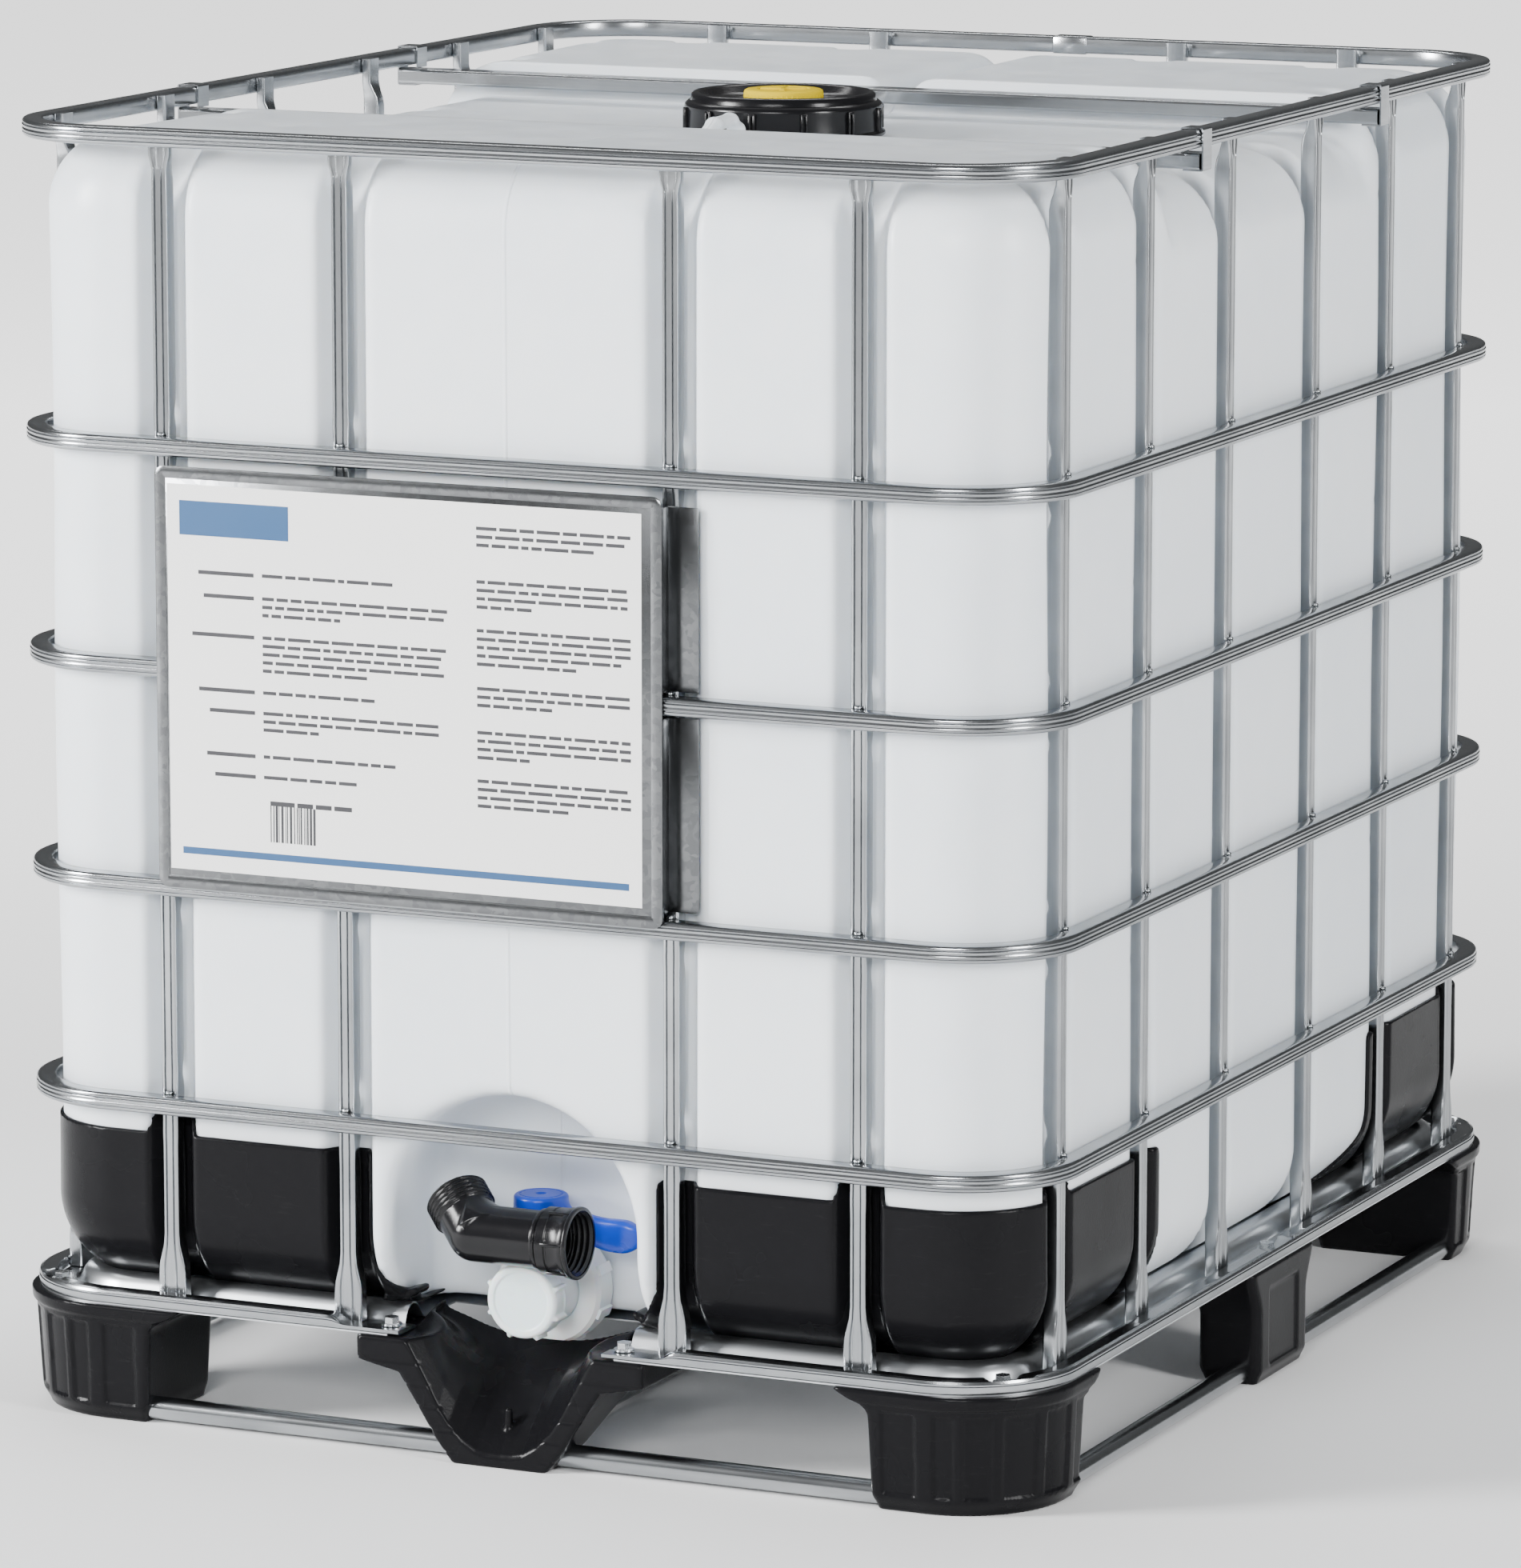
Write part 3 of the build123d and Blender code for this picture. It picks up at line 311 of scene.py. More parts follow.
def surface_net(field, low, high, step, polish=2):
    """Points and quads of the surface field = 0 inside a box; the field is negative inside."""
    axes = [np.arange(a - step, b + 2 * step, step, dtype=np.float32) for a, b in zip(low, high)]
    shape = tuple(len(axis) for axis in axes)
    grid = np.ascontiguousarray(np.broadcast_to(
        field(axes[0][:, None, None], axes[1][None, :, None], axes[2][None, None, :]), shape
    ))
    inside = grid < 0
    count = np.zeros(tuple(n - 1 for n in shape), np.int8)
    corners = [(i, j, k) for i in (0, 1) for j in (0, 1) for k in (0, 1)]
    for i, j, k in corners:
        count += inside[i:shape[0] - 1 + i, j:shape[1] - 1 + j, k:shape[2] - 1 + k]
    cells = np.nonzero((count > 0) & (count < 8))
    total = np.zeros((len(cells[0]), 3))
    hits = np.zeros(len(cells[0]))
    for axis in range(3):
        for corner in corners:
            if corner[axis]:
                continue
            end = tuple(c + (1 if n == axis else 0) for n, c in enumerate(corner))
            a = grid[tuple(c + o for c, o in zip(cells, corner))]
            b = grid[tuple(c + o for c, o in zip(cells, end))]
            cross = (a < 0) != (b < 0)
            where = np.where(cross, a / np.where(cross, a - b, 1.0), 0.0)
            spot = np.tile(np.array(corner, float), (len(a), 1))
            spot[:, axis] += where
            total += spot * cross[:, None]
            hits += cross
    start = np.array([axis[0] for axis in axes], float)
    points = start + (np.stack(cells, 1) + total / hits[:, None]) * step
    number = np.full(count.shape, -1, np.int64)
    number[cells] = np.arange(len(points))
    quads = []
    for axis in range(3):
        u, v = (axis + 1) % 3, (axis + 2) % 3
        first = [slice(None)] * 3
        second = [slice(None)] * 3
        first[axis], second[axis] = slice(0, -1), slice(1, None)
        edges = list(np.nonzero(inside[tuple(first)] != inside[tuple(second)]))
        keep = (edges[u] > 0) & (edges[u] < shape[u] - 1)
        keep &= (edges[v] > 0) & (edges[v] < shape[v] - 1)
        edges = [e[keep] for e in edges]
        ring = []
        for du, dv in ((0, 0), (-1, 0), (-1, -1), (0, -1)):
            at = list(edges)
            at[u] = edges[u] + du
            at[v] = edges[v] + dv
            ring.append(number[tuple(at)])
        quad = np.stack(ring, 1)
        flip = ~inside[tuple(edges)]
        quad[flip] = quad[flip][:, ::-1]
        quads.append(quad)
    small, least_slope, most_move = 0.2, 0.05, 0.6 * step
    for _ in range(polish):
        value = field(*points.T)
        slope = np.stack([
            (field(*(points + small * unit).T) - field(*(points - small * unit).T)) / (2 * small)
            for unit in np.eye(3)
        ], 1)
        move = -(value / np.maximum((slope ** 2).sum(1), least_slope))[:, None] * slope
        points = points + np.clip(move, -most_move, most_move)
    return points, np.concatenate(quads)


def smooth_step(low, high, value):
    """0 below low, 1 above high, smooth between."""
    t = np.clip((value - low) / (high - low), 0.0, 1.0)
    return t * t * (3 - 2 * t)


def blend_max(a, b, radius):
    """Intersection with a round edge of that radius."""
    u = np.maximum(a + radius, 0)
    v = np.maximum(b + radius, 0)
    return np.minimum(np.maximum(a, b), -radius) + np.hypot(u, v)


def blend_min(a, b, radius):
    """Union with a round inner corner of that radius."""
    return -blend_max(-a, -b, radius)


def plan_field(x, y, half_x, half_y, corner):
    """Distance to a rounded rectangle in plan."""
    u = np.abs(x) - half_x + corner
    v = np.abs(y) - half_y + corner
    return np.hypot(np.maximum(u, 0), np.maximum(v, 0)) + np.minimum(np.maximum(u, v), 0) - corner


def segment_field(p, a, b):
    """Distance from points p (three arrays) to the segment a-b."""
    a, b = np.array(a, float), np.array(b, float)
    run = b - a
    t = sum((q - s) * r for q, s, r in zip(p, a, run)) / (run @ run)
    t = np.clip(t, 0, 1)
    return np.sqrt(sum((q - s - t * r) ** 2 for q, s, r in zip(p, a, run)))


def loft(sections, ring=False):
    """Points and faces of a tube through equal-length closed sections (lists of 3-D points).

    A ring joins its last section to the first; otherwise both ends are capped.
    """
    count = len(sections[0])
    points = [p for section in sections for p in section]
    faces = []
    for row in range(len(sections) - 1):
        for i in range(count):
            j = (i + 1) % count
            a, b = row * count, (row + 1) * count
            faces.append((a + i, a + j, b + j, b + i))
    last = (len(sections) - 1) * count
    if ring:
        faces += [(last + i, last + (i + 1) % count, (i + 1) % count, i) for i in range(count)]
    else:
        faces.append(tuple(reversed(range(count))))
        faces.append(tuple(range(last, last + count)))
    return points, faces


def joined(*parts):
    """Several (points, faces) meshes as one."""
    points, faces = [], []
    for part_points, part_faces in parts:
        start = len(points)
        points += [tuple(p) for p in part_points]
        faces += [tuple(i + start for i in face) for face in part_faces]
    return points, faces


def lathe(profile, origin=(0, 0, 0), axis=(0, 0, 1), segments=96, closed=True):
    """A turned solid from (radius, height) points; a zero radius gives a pole."""
    axis = Vector(axis).normalized()
    turn = axis.to_track_quat("Z", "Y").to_matrix()
    points, rings, faces = [], [], []
    for radius, height in profile:
        if radius < 1e-6:
            rings.append([len(points)])
            points.append(tuple(Vector(origin) + axis * height))
            continue
        rings.append(list(range(len(points), len(points) + segments)))
        for i in range(segments):
            a = 2 * pi * i / segments
            points.append(tuple(Vector(origin) + turn @ Vector(
                (radius * cos(a), radius * sin(a), height))))
    pairs = list(zip(rings, rings[1:] + rings[:1] if closed else rings[1:]))
    for a, b in pairs:
        for i in range(segments):
            j = (i + 1) % segments
            if len(a) == 1 and len(b) == 1:
                break
            if len(a) == 1:
                faces.append((a[0], b[j], b[i]))
            elif len(b) == 1:
                faces.append((a[i], a[j], b[0]))
            else:
                faces.append((a[i], a[j], b[j], b[i]))
    return points, faces


def soft_box(centre, size, bevel, turn=None, segments=2):
    """A box with rounded edges."""
    shape = bmesh.new()
    bmesh.ops.create_cube(shape, size=1.0)
    bmesh.ops.scale(shape, vec=size, verts=shape.verts)
    bmesh.ops.bevel(shape, geom=shape.edges[:], offset=bevel, segments=segments, profile=0.5,
                    affect="EDGES")
    turn = turn or Matrix.Identity(3)
    points = [tuple(turn @ v.co + Vector(centre)) for v in shape.verts]
    faces = [tuple(v.index for v in f.verts) for f in shape.faces]
    shape.free()
    return points, faces


def plan_path(inset, z, half_gap=None, steps=14):
    """Points round the cage's plan outline, drawn in by inset, from the front middle.

    half_gap leaves the path open across the front, half_gap each side of the middle.
    """
    corner = max(RING_CORNER - inset, 4.0)
    half_x, half_y = RING_HALF_X - inset, RING_HALF_Y - inset
    gap = half_gap or 0.0
    points = [(gap, -half_y, z)]
    for cx, cy, start in ((1, -1, -90), (1, 1, 0), (-1, 1, 90), (-1, -1, 180)):
        for i in range(steps + 1):
            a = radians(start + 90 * i / steps)
            points.append((cx * (half_x - corner) + corner * cos(a),
                           cy * (half_y - corner) + corner * sin(a), z))
    if half_gap:
        points.append((-gap, -half_y, z))
    return points


def loop_sweep(section, half_gap=None, steps=14):
    """A solid with an (inset, z) section carried round the cage's plan outline."""
    rows = [plan_path(inset, z, half_gap, steps) for inset, z in section]
    return loft([list(column) for column in zip(*rows)], ring=not half_gap)


def shifted(pairs, first, second):
    """The pairs, moved by one amount each way."""
    return [(first + a, second + b) for a, b in pairs]


def field_piece(name, field, low, high, step, material, **places):
    """A piece meshed from a field."""
    make_piece(name, *surface_net(field, low, high, step), material, **places)


def both_hands(stem, ending, field, low, high, step):
    """A black piece on the left, meshed from a field, and its mirror image on the right."""
    points, quads = surface_net(field, low, high, step)
    mirrored = points * (-1, 1, 1), quads[:, ::-1].copy()
    for hand, mesh in (("left", (points, quads)), ("right", mirrored)):
        node = f"{stem}_{hand}"
        make_piece(node + ending, *mesh, "black", node=node)


def true_distance(field):
    """The field divided by its own steepness where that is over 1."""
    def even(x, y, z):
        value = field(x, y, z)
        small = 0.6
        steep = ((field(x + small, y, z) - value) / small) ** 2
        steep = steep + ((field(x, y + small, z) - value) / small) ** 2
        steep = steep + ((field(x, y, z + small) - value) / small) ** 2
        return value / np.sqrt(np.maximum(steep, 1.0))
    return even


def box_field(x, y, z, centre, half, corner):
    """Distance to a box with rounded edges."""
    q = [np.abs(p - c) - h + corner for p, c, h in zip((x, y, z), centre, half)]
    outside = np.sqrt(sum(np.maximum(a, 0) ** 2 for a in q))
    return outside + np.minimum(np.maximum(np.maximum(q[0], q[1]), q[2]), 0) - corner


# ================================================================ bottle
BOTTLE_LOW, BOTTLE_HIGH = box_mm("bottle")
BOTTLE_X, BOTTLE_Y, PILLOW_TOP = BOTTLE_HIGH
BOTTLE_FLOOR = BOTTLE_LOW[2] + 10
DECK_TOP = PILLOW_TOP - 34
NECK_TOP = box_mm("lid_gasket")[0][2]
UPRIGHTS = {name: box_mm(name) for name in NODES if name.startswith("upright")}
END_PLACES = sorted({round(middle_mm(name)[0]) for name in UPRIGHTS if "front" in name})
SIDE_PLACES = sorted({round(middle_mm(name)[1]) for name in UPRIGHTS if "left" in name})
VALVE_Z = middle_mm("outlet_cap")[2]
NICHE_BACK = -468.0
NICHE_RADIUS = 118.0
NICHE_Z = 205.0
GROOVE_DEPTH, GROOVE_INNER, GROOVE_OUTER = 19.0, 11.0, 27.0
NECK_RADIUS, NECK_BORE = 80.0, 75.0
TAP_RADIUS, TAP_BORE = 39.5, 25.0


def bottle_skin(x, y, z, with_niche=True):
    """The bottle's outer skin: grooved sides, pillowed top, round heel and valve niche."""
    side = plan_field(x, y, BOTTLE_X - 0.5, BOTTLE_Y - 0.5, 88.0)
    to_side = (np.abs(x) - BOTTLE_X) - (np.abs(y) - BOTTLE_Y)
    on_sides = smooth_step(20.0, 55.0, to_side)
    on_ends = smooth_step(20.0, 55.0, -to_side)
    for places, where, along in ((SIDE_PLACES, on_sides, y), (END_PLACES, on_ends, x)):
        for place in places:
            groove = 1 - smooth_step(GROOVE_INNER, GROOVE_OUTER, np.abs(along - place))
            side = side + GROOVE_DEPTH * where * groove
    side = side + 1.2 - 1.2 * np.cos(z / 96.0) * np.cos(x / 75.0) * np.cos(y / 80.0)
    rise = smooth_step(238.0, 262.0, np.abs(y))
    split = np.exp(-(x / 17.0) ** 2) * smooth_step(225.0, 262.0, y)
    swell = 2.0 * smooth_step(0.0, 260.0, np.abs(y) - 240.0)
    top = DECK_TOP + (PILLOW_TOP - DECK_TOP - 2.0) * rise * (1 - 0.8 * split) + swell
    skin = blend_max(side, z - top, 66.0)
    skin = blend_max(skin, BOTTLE_FLOOR - z, 78.0)
    if not with_niche:
        return skin
    arch = np.where(z > NICHE_Z, np.hypot(x, z - NICHE_Z), np.abs(x)) - NICHE_RADIUS
    niche = blend_max(arch, y - NICHE_BACK, 26.0)
    return blend_max(skin, -niche, 12.0)


def bottle_field(x, y, z):
    """The whole moulding: skin, hollow inside, filling neck and tap neck."""
    skin = bottle_skin(x, y, z)
    across = np.hypot(x, y)
    collar = np.maximum(blend_max(across - NECK_RADIUS, z - (DECK_TOP + 3.0), 2.0),
                        DECK_TOP - 20.0 - z)
    solid = blend_min(skin, collar, 8.0)
    tap = np.hypot(x, z - VALVE_Z)
    tap_neck = np.maximum(np.maximum(tap - TAP_RADIUS, y - (NICHE_BACK + 20)), -487.0 - y)
    solid = blend_min(solid, tap_neck, 5.0)
    hollow = plan_field(x, y, BOTTLE_X - 34.0, BOTTLE_Y - 34.0, 60.0)
    hollow = blend_max(hollow, z - (DECK_TOP - 14.0), 40.0)
    hollow = blend_max(hollow, (BOTTLE_FLOOR + 14.0) - z, 50.0)
    niche = np.maximum(np.hypot(x, np.maximum(z - NICHE_Z, 0)) - NICHE_RADIUS - 14.0,
                       y - NICHE_BACK - 14.0)
    hollow = np.maximum(hollow, -niche)
    hollow = np.minimum(hollow, np.maximum(across - NECK_BORE, (NECK_TOP - 80.0) - z))
    tap_bore = np.maximum(np.maximum(tap - TAP_BORE, y - (NICHE_BACK + 40)), -500.0 - y)
    hollow = np.minimum(hollow, tap_bore)
    return np.maximum(solid, -hollow)


BOTTLE_STEP = 6.0
field_piece("bottle_moulding", bottle_field, BOTTLE_LOW, BOTTLE_HIGH, BOTTLE_STEP, "bottle",
            node="bottle")


def neck_piece():
    """The filling neck, turned, with a coarse thread under the lid's skirt."""
    low, root, crest, pitch = DECK_TOP - 13.0, 78.6, 80.5, 6.0
    wall = [(76.5, low), (79.8, low + 2)]
    z = DECK_TOP + 5.0
    while z < NECK_TOP - 8.0:
        wall += [(root, z), (crest, z + 1.4), (crest, z + 2.4), (root, z + 4.0)]
        z += pitch
    wall += [(root, NECK_TOP - 1.0), (78.0, NECK_TOP), (74.6, NECK_TOP), (74.0, NECK_TOP - 0.8),
             (74.0, low)]
    make_piece("bottle_neck", *lathe(wall, segments=128), "bottle", on="bottle", angle=40)


def loop_field(side):
    """One moulded carrying loop beside the neck, in front (-1) or behind (+1)."""
    deck = DECK_TOP - 3
    path = [(99, deck), (103, deck + 19), (117, deck + 28), (150, deck + 27), (176, deck + 15),
            (199, deck - 2)]
    flatten, radius = 0.8, 6.0

    def field(x, y, z):
        strands = [segment_field((x * flatten, y * side, z), (0, *a), (0, *b)) - radius
                   for a, b in zip(path, path[1:])]
        value = strands[0]
        for strand in strands[1:]:
            value = blend_min(value, strand, 3.0)
        return value

    return field


neck_piece()
for end_name, end_side in ENDS:
    reach = sorted((end_side * 88, end_side * 210))
    field_piece("bottle_loop_" + end_name, loop_field(end_side), (-12, reach[0], DECK_TOP - 16),
                (12, reach[1], PILLOW_TOP), 2.0, "bottle", on="bottle")


# ================================================================ cage
def tube_profile(wide, deep, corner, groove, groove_at=0.22, groove_half=0.07, steps=5):
    """A rounded tube section, centred: (across, out) points with two grooves in its outer face."""
    points = []
    for cx, cy, start in ((1, 1, 0), (-1, 1, 90), (-1, -1, 180), (1, -1, 270)):
        for i in range(steps + 1):
            angle = radians(start + 90 * i / steps)
            points.append((cx * (wide / 2 - corner) + corner * cos(angle),
                           cy * (deep / 2 - corner) + corner * sin(angle)))
        if start == 0:
            for centre in (groove_at, -groove_at):
                for offset, depth in ((groove_half, 0), (groove_half * 0.4, 1),
                                      (-groove_half * 0.4, 1), (-groove_half, 0)):
                    points.append((wide * (centre + offset), deep / 2 - groove * depth))
    return points


RING_NAMES = sorted(name for name in NODES if name.startswith("cage_ring"))
RING_HALF_X, RING_HALF_Y = box_mm(RING_NAMES[0])[1][:2]
RING_CORNER = 105.0
RING_HEIGHTS = [middle_mm(name)[2] for name in RING_NAMES]
WELDED_HEIGHTS = RING_HEIGHTS[:-1]


def upright_piece(name):
    """A roll-formed upright: grooved face, flared foot, dents at the rings, pinched head."""
    low, high = UPRIGHTS[name]
    out = Vector((*OUTWARD[name.split("_")[1]], 0))
    across = Vector((0, 0, 1)).cross(out)
    middle = Vector(((low[0] + high[0]) / 2, (low[1] + high[1]) / 2, 0))
    half_out = abs(Vector(high - low).dot(out)) / 2
    face = middle + out * half_out
    face.z = 0
    top, bottom = high[2], low[2] - 14.0
    heights = sorted(
        {bottom, bottom + 6, bottom + 26, bottom + 34, bottom + 42, bottom + 50, bottom + 60, top,
         top - 3, top - 12, top - 22, top - 30, top - 36, top - 44, top - 54}
        | {ring + offset for ring in WELDED_HEIGHTS
           for offset in (-46, -38, -31, -25, -19, -13, -6, 0, 6, 13, 19, 25, 31, 38, 46)}
        | set(np.linspace(bottom + 70, top - 70, 36))
    )
    sections = []
    for z in heights:
        foot = 1 - smooth_step(bottom + 26, bottom + 58, z)
        head = smooth_step(top - 44, top - 22, z)
        pinch = np.exp(-((z - (top - 33)) / 6.0) ** 2)
        dent = max(sum(np.exp(-((z - ring - offset) / 8.5) ** 2) for offset in (-27, 27))
                   for ring in WELDED_HEIGHTS)
        wide = 15.0 + 11.5 * foot + 5.5 * head - 3.0 * pinch + 0.8 * dent
        deep = 16.0 - 3.0 * foot - 7.0 * head + 1.0 * pinch - 3.6 * dent
        groove = 1.7 * (1 - 0.6 * head)
        section = []
        for a, o in tube_profile(wide, deep, 2.4, groove):
            point = face + across * a + out * (o - deep / 2)
            section.append((point.x, point.y, z))
        sections.append(section)
    make_piece(name + "_tube", *loft(sections), "tube_z", node=name, angle=50)


for upright_name in UPRIGHTS:
    upright_piece(upright_name)


# ================================================================ corner protectors
def bumper_field(end):
    """The left-hand protector at the front (-1) or rear (+1): a skin over the bottle."""
    skin = true_distance(lambda x, y, z: bottle_skin(x, y, z, with_niche=False))
    over, under, low = 3.3, 7.0, 119.0
    tab_edge, tab_rise = (18.0, 25.0), 19.0

    def field(x, y, z):
        depth = skin(x, y, z)
        shell = np.maximum(depth - over, -(depth + under))
        tail = (1 - smooth_step(low, 178.0, z)) ** 1.5
        edge_x = 137.0 - (26.0 if end < 0 else 8.0) * tail
        edge_y = 262.0 - (12.0 if end < 0 else 95.0) * tail
        end_tab = (1 - smooth_step(*tab_edge, np.abs(x + 330.0))) * (np.abs(y) > 530.0)
        side_tab = (1 - smooth_step(*tab_edge, np.abs(np.abs(y) - 484.0))) * (x < -430.0)
        top = 262.0 + tab_rise * np.maximum(end_tab, side_tab)
        outline = blend_max(edge_x + x, edge_y - y * end, 10.0)
        outline = blend_max(outline, (z - top) * 0.8, 6.0)
        outline = blend_max(outline, low - z, 5.0)
        solid = blend_max(shell, outline, 1.2)
        if end < 0:
            tongue = box_field(x, y, z - 0.3 * (x + 118.0), (-121, -534, 131), (17, 14, 3.6), 3.5)
            solid = blend_min(solid, tongue, 5.0)
        return solid

    return field


BUMPER_STEP = 2.4
for end_name, end_side in ENDS:
    reach = sorted((end_side * 160, end_side * 585))
    both_hands("bumper_" + end_name, "_skin", bumper_field(end_side), (-485, reach[0], 112),
               (-95, reach[1], 284), BUMPER_STEP)


# ================================================================ pallet
FOOT_TOP = box_mm("pallet_pan")[0][2]
HALF_X, HALF_Y = 500.0, 600.0


def level_ends(shape, z):
    """A foot cut level at the pan and the floor."""
    return blend_max(blend_max(shape, z - FOOT_TOP, 1.5), -z, 2.0)


def corner_foot_field(end):
    """The left-hand corner foot at the front (-1) or rear (+1).

    It has a big outer radius, a flared head, pressed flutes and a stepped sole.
    """
    panel_depth = 2.3

    def field(x, y, z):
        draw = 4.5 * (1 - z / FOOT_TOP)
        lip = 2.5 * smooth_step(92.0, 97.0, z)
        outer = plan_field(x, y, HALF_X - 2.5 - draw + lip, HALF_Y - 2.5 - draw + lip, 98.0)
        head = 30.0 * smooth_step(78.0, 106.0, z) ** 2
        inner = blend_max((HALF_X - 155 - head + draw) + x,
                          (HALF_Y - 134 - head * 0.8 + draw) - end * y, 12.0)
        along_x, along_y = -x - (HALF_X - 102), end * y - (HALF_Y - 102)
        around = np.arctan2(along_y, along_x)
        panel = sum(smooth_step(a, a + 0.03, around) - smooth_step(b - 0.03, b, around)
                    for a, b in ((0.06, 0.42), (0.50, 0.86), (0.94, 1.22), (1.28, 1.5)))
        panel = np.where((along_x > 0) & (along_y > 0), panel, 0)
        strip = [smooth_step(-40.0, -37.0, d) - smooth_step(-9.0, -6.0, d)
                 for d in (along_x, along_y)]
        panel = panel + np.where(along_x < 0, strip[0], 0) + np.where(along_y < 0, strip[1], 0)
        band = smooth_step(14.0, 17.0, z) * (1 - smooth_step(86.0, 90.0, z))
        outer = outer + panel_depth * band * np.clip(panel, 0, 1)
        sole = 6.0 * (1 - smooth_step(0.0, 16.0, z))
        shape = blend_max(outer + sole, inner + sole * 0.5, 5.0)
        return level_ends(shape, z)
    return field


def block_foot_field(centre, half_low, half_top, out):
    """A smaller foot, waisted below its flared head; out is its outward direction."""
    panel_depth = 2.2

    def field(x, y, z):
        grow = smooth_step(58.0, 106.0, z) ** 1.6
        u, v = x - centre[0], y - centre[1]
        half_x = half_low[0] + (half_top[0] - half_low[0]) * grow
        half_y = half_low[1] + (half_top[1] - half_low[1]) * grow
        u = u + out[0] * (half_x - half_low[0])
        v = v + out[1] * (half_y - half_low[1])
        shape = plan_field(u, v, half_x, half_y, 9.0)
        along = v if out[0] else u
        panel = 1 - smooth_step(33.0, 36.0, np.abs(along))
        panel = panel * smooth_step(14.0, 17.0, z) * (1 - smooth_step(84.0, 88.0, z))
        shape = shape + panel_depth * panel + 5.0 * (1 - smooth_step(0.0, 14.0, z))
        return level_ends(shape, z)
    return field


def well_field(x, y, z):
    """The scoop under the valve: a V-shaped lip in front and a trough rising to the back."""
    side = np.abs(x)
    back = smooth_step(-575.0, -508.0, y)
    reach = np.interp(z, (-5, 0, 7, 20, 50, 76, 84, 130),
                      (42, 45, 51, 61, 80, 97, 137, 138.0))
    under = (y + 556.0) * 1.35
    outer = blend_max((side - reach) * 0.72, -600.0 - y, 3.0)
    outer = blend_max(outer, y + 503.0, 3.0)
    outer = blend_max(outer, (np.minimum(under, 78.0) - z) * 0.65, 6.0)
    outer = blend_max(outer, -z, 1.5)
    rim = FOOT_TOP + 15.0 * back * smooth_step(48.0, 78.0, side) * (1 - smooth_step(97, 103, side))
    outer = blend_max(outer, z - rim, 1.5)
    lift = np.interp(y, (-601.0, -596.0, -585.0, -545.0, -505.0), (9.0, 14.0, 26.0, 62.0, 95.0))
    rise = np.interp(side, (0, 12, 22, 35, 48, 58, 70, 88, 120),
                     (0, 0.6, 2.5, 10.5, 24, 38, 60, 92, 150))
    floor = lift + rise * (1 - 0.82 * back)
    trough = blend_max((floor - z) * 0.62, side - 97.0, 4.0)
    solid = blend_max(outer, -trough, 2.5)
    pin = segment_field((x, y, z), (0, -578, 20), (0, -578, 46)) - 3.4
    solid = blend_min(solid, pin, 3.0)
    for place in (118.0, 130.0):
        slot = box_field(side, y, z, (place, -552, FOOT_TOP), (2.4, 26, 9), 1.5)
        solid = np.maximum(solid, -slot)
    lip_marks = np.exp(-((np.mod(z, 19.0) - 9.5) / 0.9) ** 2) * (y < -597.0) * (side > 40)
    solid = solid + 1.2 * lip_marks * (side < reach)
    return solid


FOOT_STEP = 2.4
for end_name, end_side in ENDS:
    reach = sorted((end_side * 420, end_side * 600))
    both_hands("foot_" + end_name, "_block", corner_foot_field(end_side), (-500, reach[0], 0),
               (-300, reach[1], FOOT_TOP), FOOT_STEP)
both_hands("foot", "_block", block_foot_field((-467.5, 0), (30.0, 62.0), (51.0, 78.0), (-1, 0)),
           (-500, -82, 0), (-385, 82, FOOT_TOP), FOOT_STEP)
field_piece("foot_rear_block", block_foot_field((0, 567), (62.0, 31.0), (78.0, 58.0), (0, 1)),
            (-82, 475, 0), (82, 600, FOOT_TOP), FOOT_STEP, "black", node="foot_rear")
field_piece("foot_centre_block", block_foot_field((0, 0), (58.0, 58.0), (75.0, 75.0), (0, 0)),
            (-80, -80, 0), (80, 80, FOOT_TOP), FOOT_STEP, "black", node="foot_centre")
field_piece("well_scoop", well_field, (-139, -600, 0), (139, -500, FOOT_TOP + 18),
            1.8, "black", node="foot_front_well")


def pan_piece():
    """The pressed tray: flange, round bead and deck, cut out round the well."""
    deck, well_half = FOOT_TOP + 1.5, 109
    bead = [(36, 0.6), (37.5, 4), (39.5, 9), (43, 13.8), (47.5, 17), (53, 18), (58.5, 16.6),
            (63, 12.8), (66.5, 8), (70, 3.4), (74, 1), (80, 0.2)]
    upper = shifted([(1.5, 0), (35, 0), *bead, (96, 0)], 0, deck)
    lower = shifted(reversed(upper), 0, -1.4)
    rim = loop_sweep(upper + lower, half_gap=well_half, steps=20)
    half_x, half_y = RING_HALF_X - 95, RING_HALF_Y - 95
    top, low = deck - 0.02, deck - 1.3
    outline = [(-half_x, -half_y), (-well_half, -half_y), (-well_half, -462), (well_half, -462),
               (well_half, -half_y), (half_x, -half_y), (half_x, half_y), (-half_x, half_y)]
    points = [(x, y, z) for z in (low, top) for x, y in outline]
    count = len(outline)
    faces = [tuple(reversed(range(count))), tuple(range(count, 2 * count))]
    faces += [(i, (i + 1) % count, count + (i + 1) % count, count + i) for i in range(count)]
    make_piece("pan_pressing", *joined(rim, (points, faces)), "sheet", node="pallet_pan", angle=40)


pan_piece()


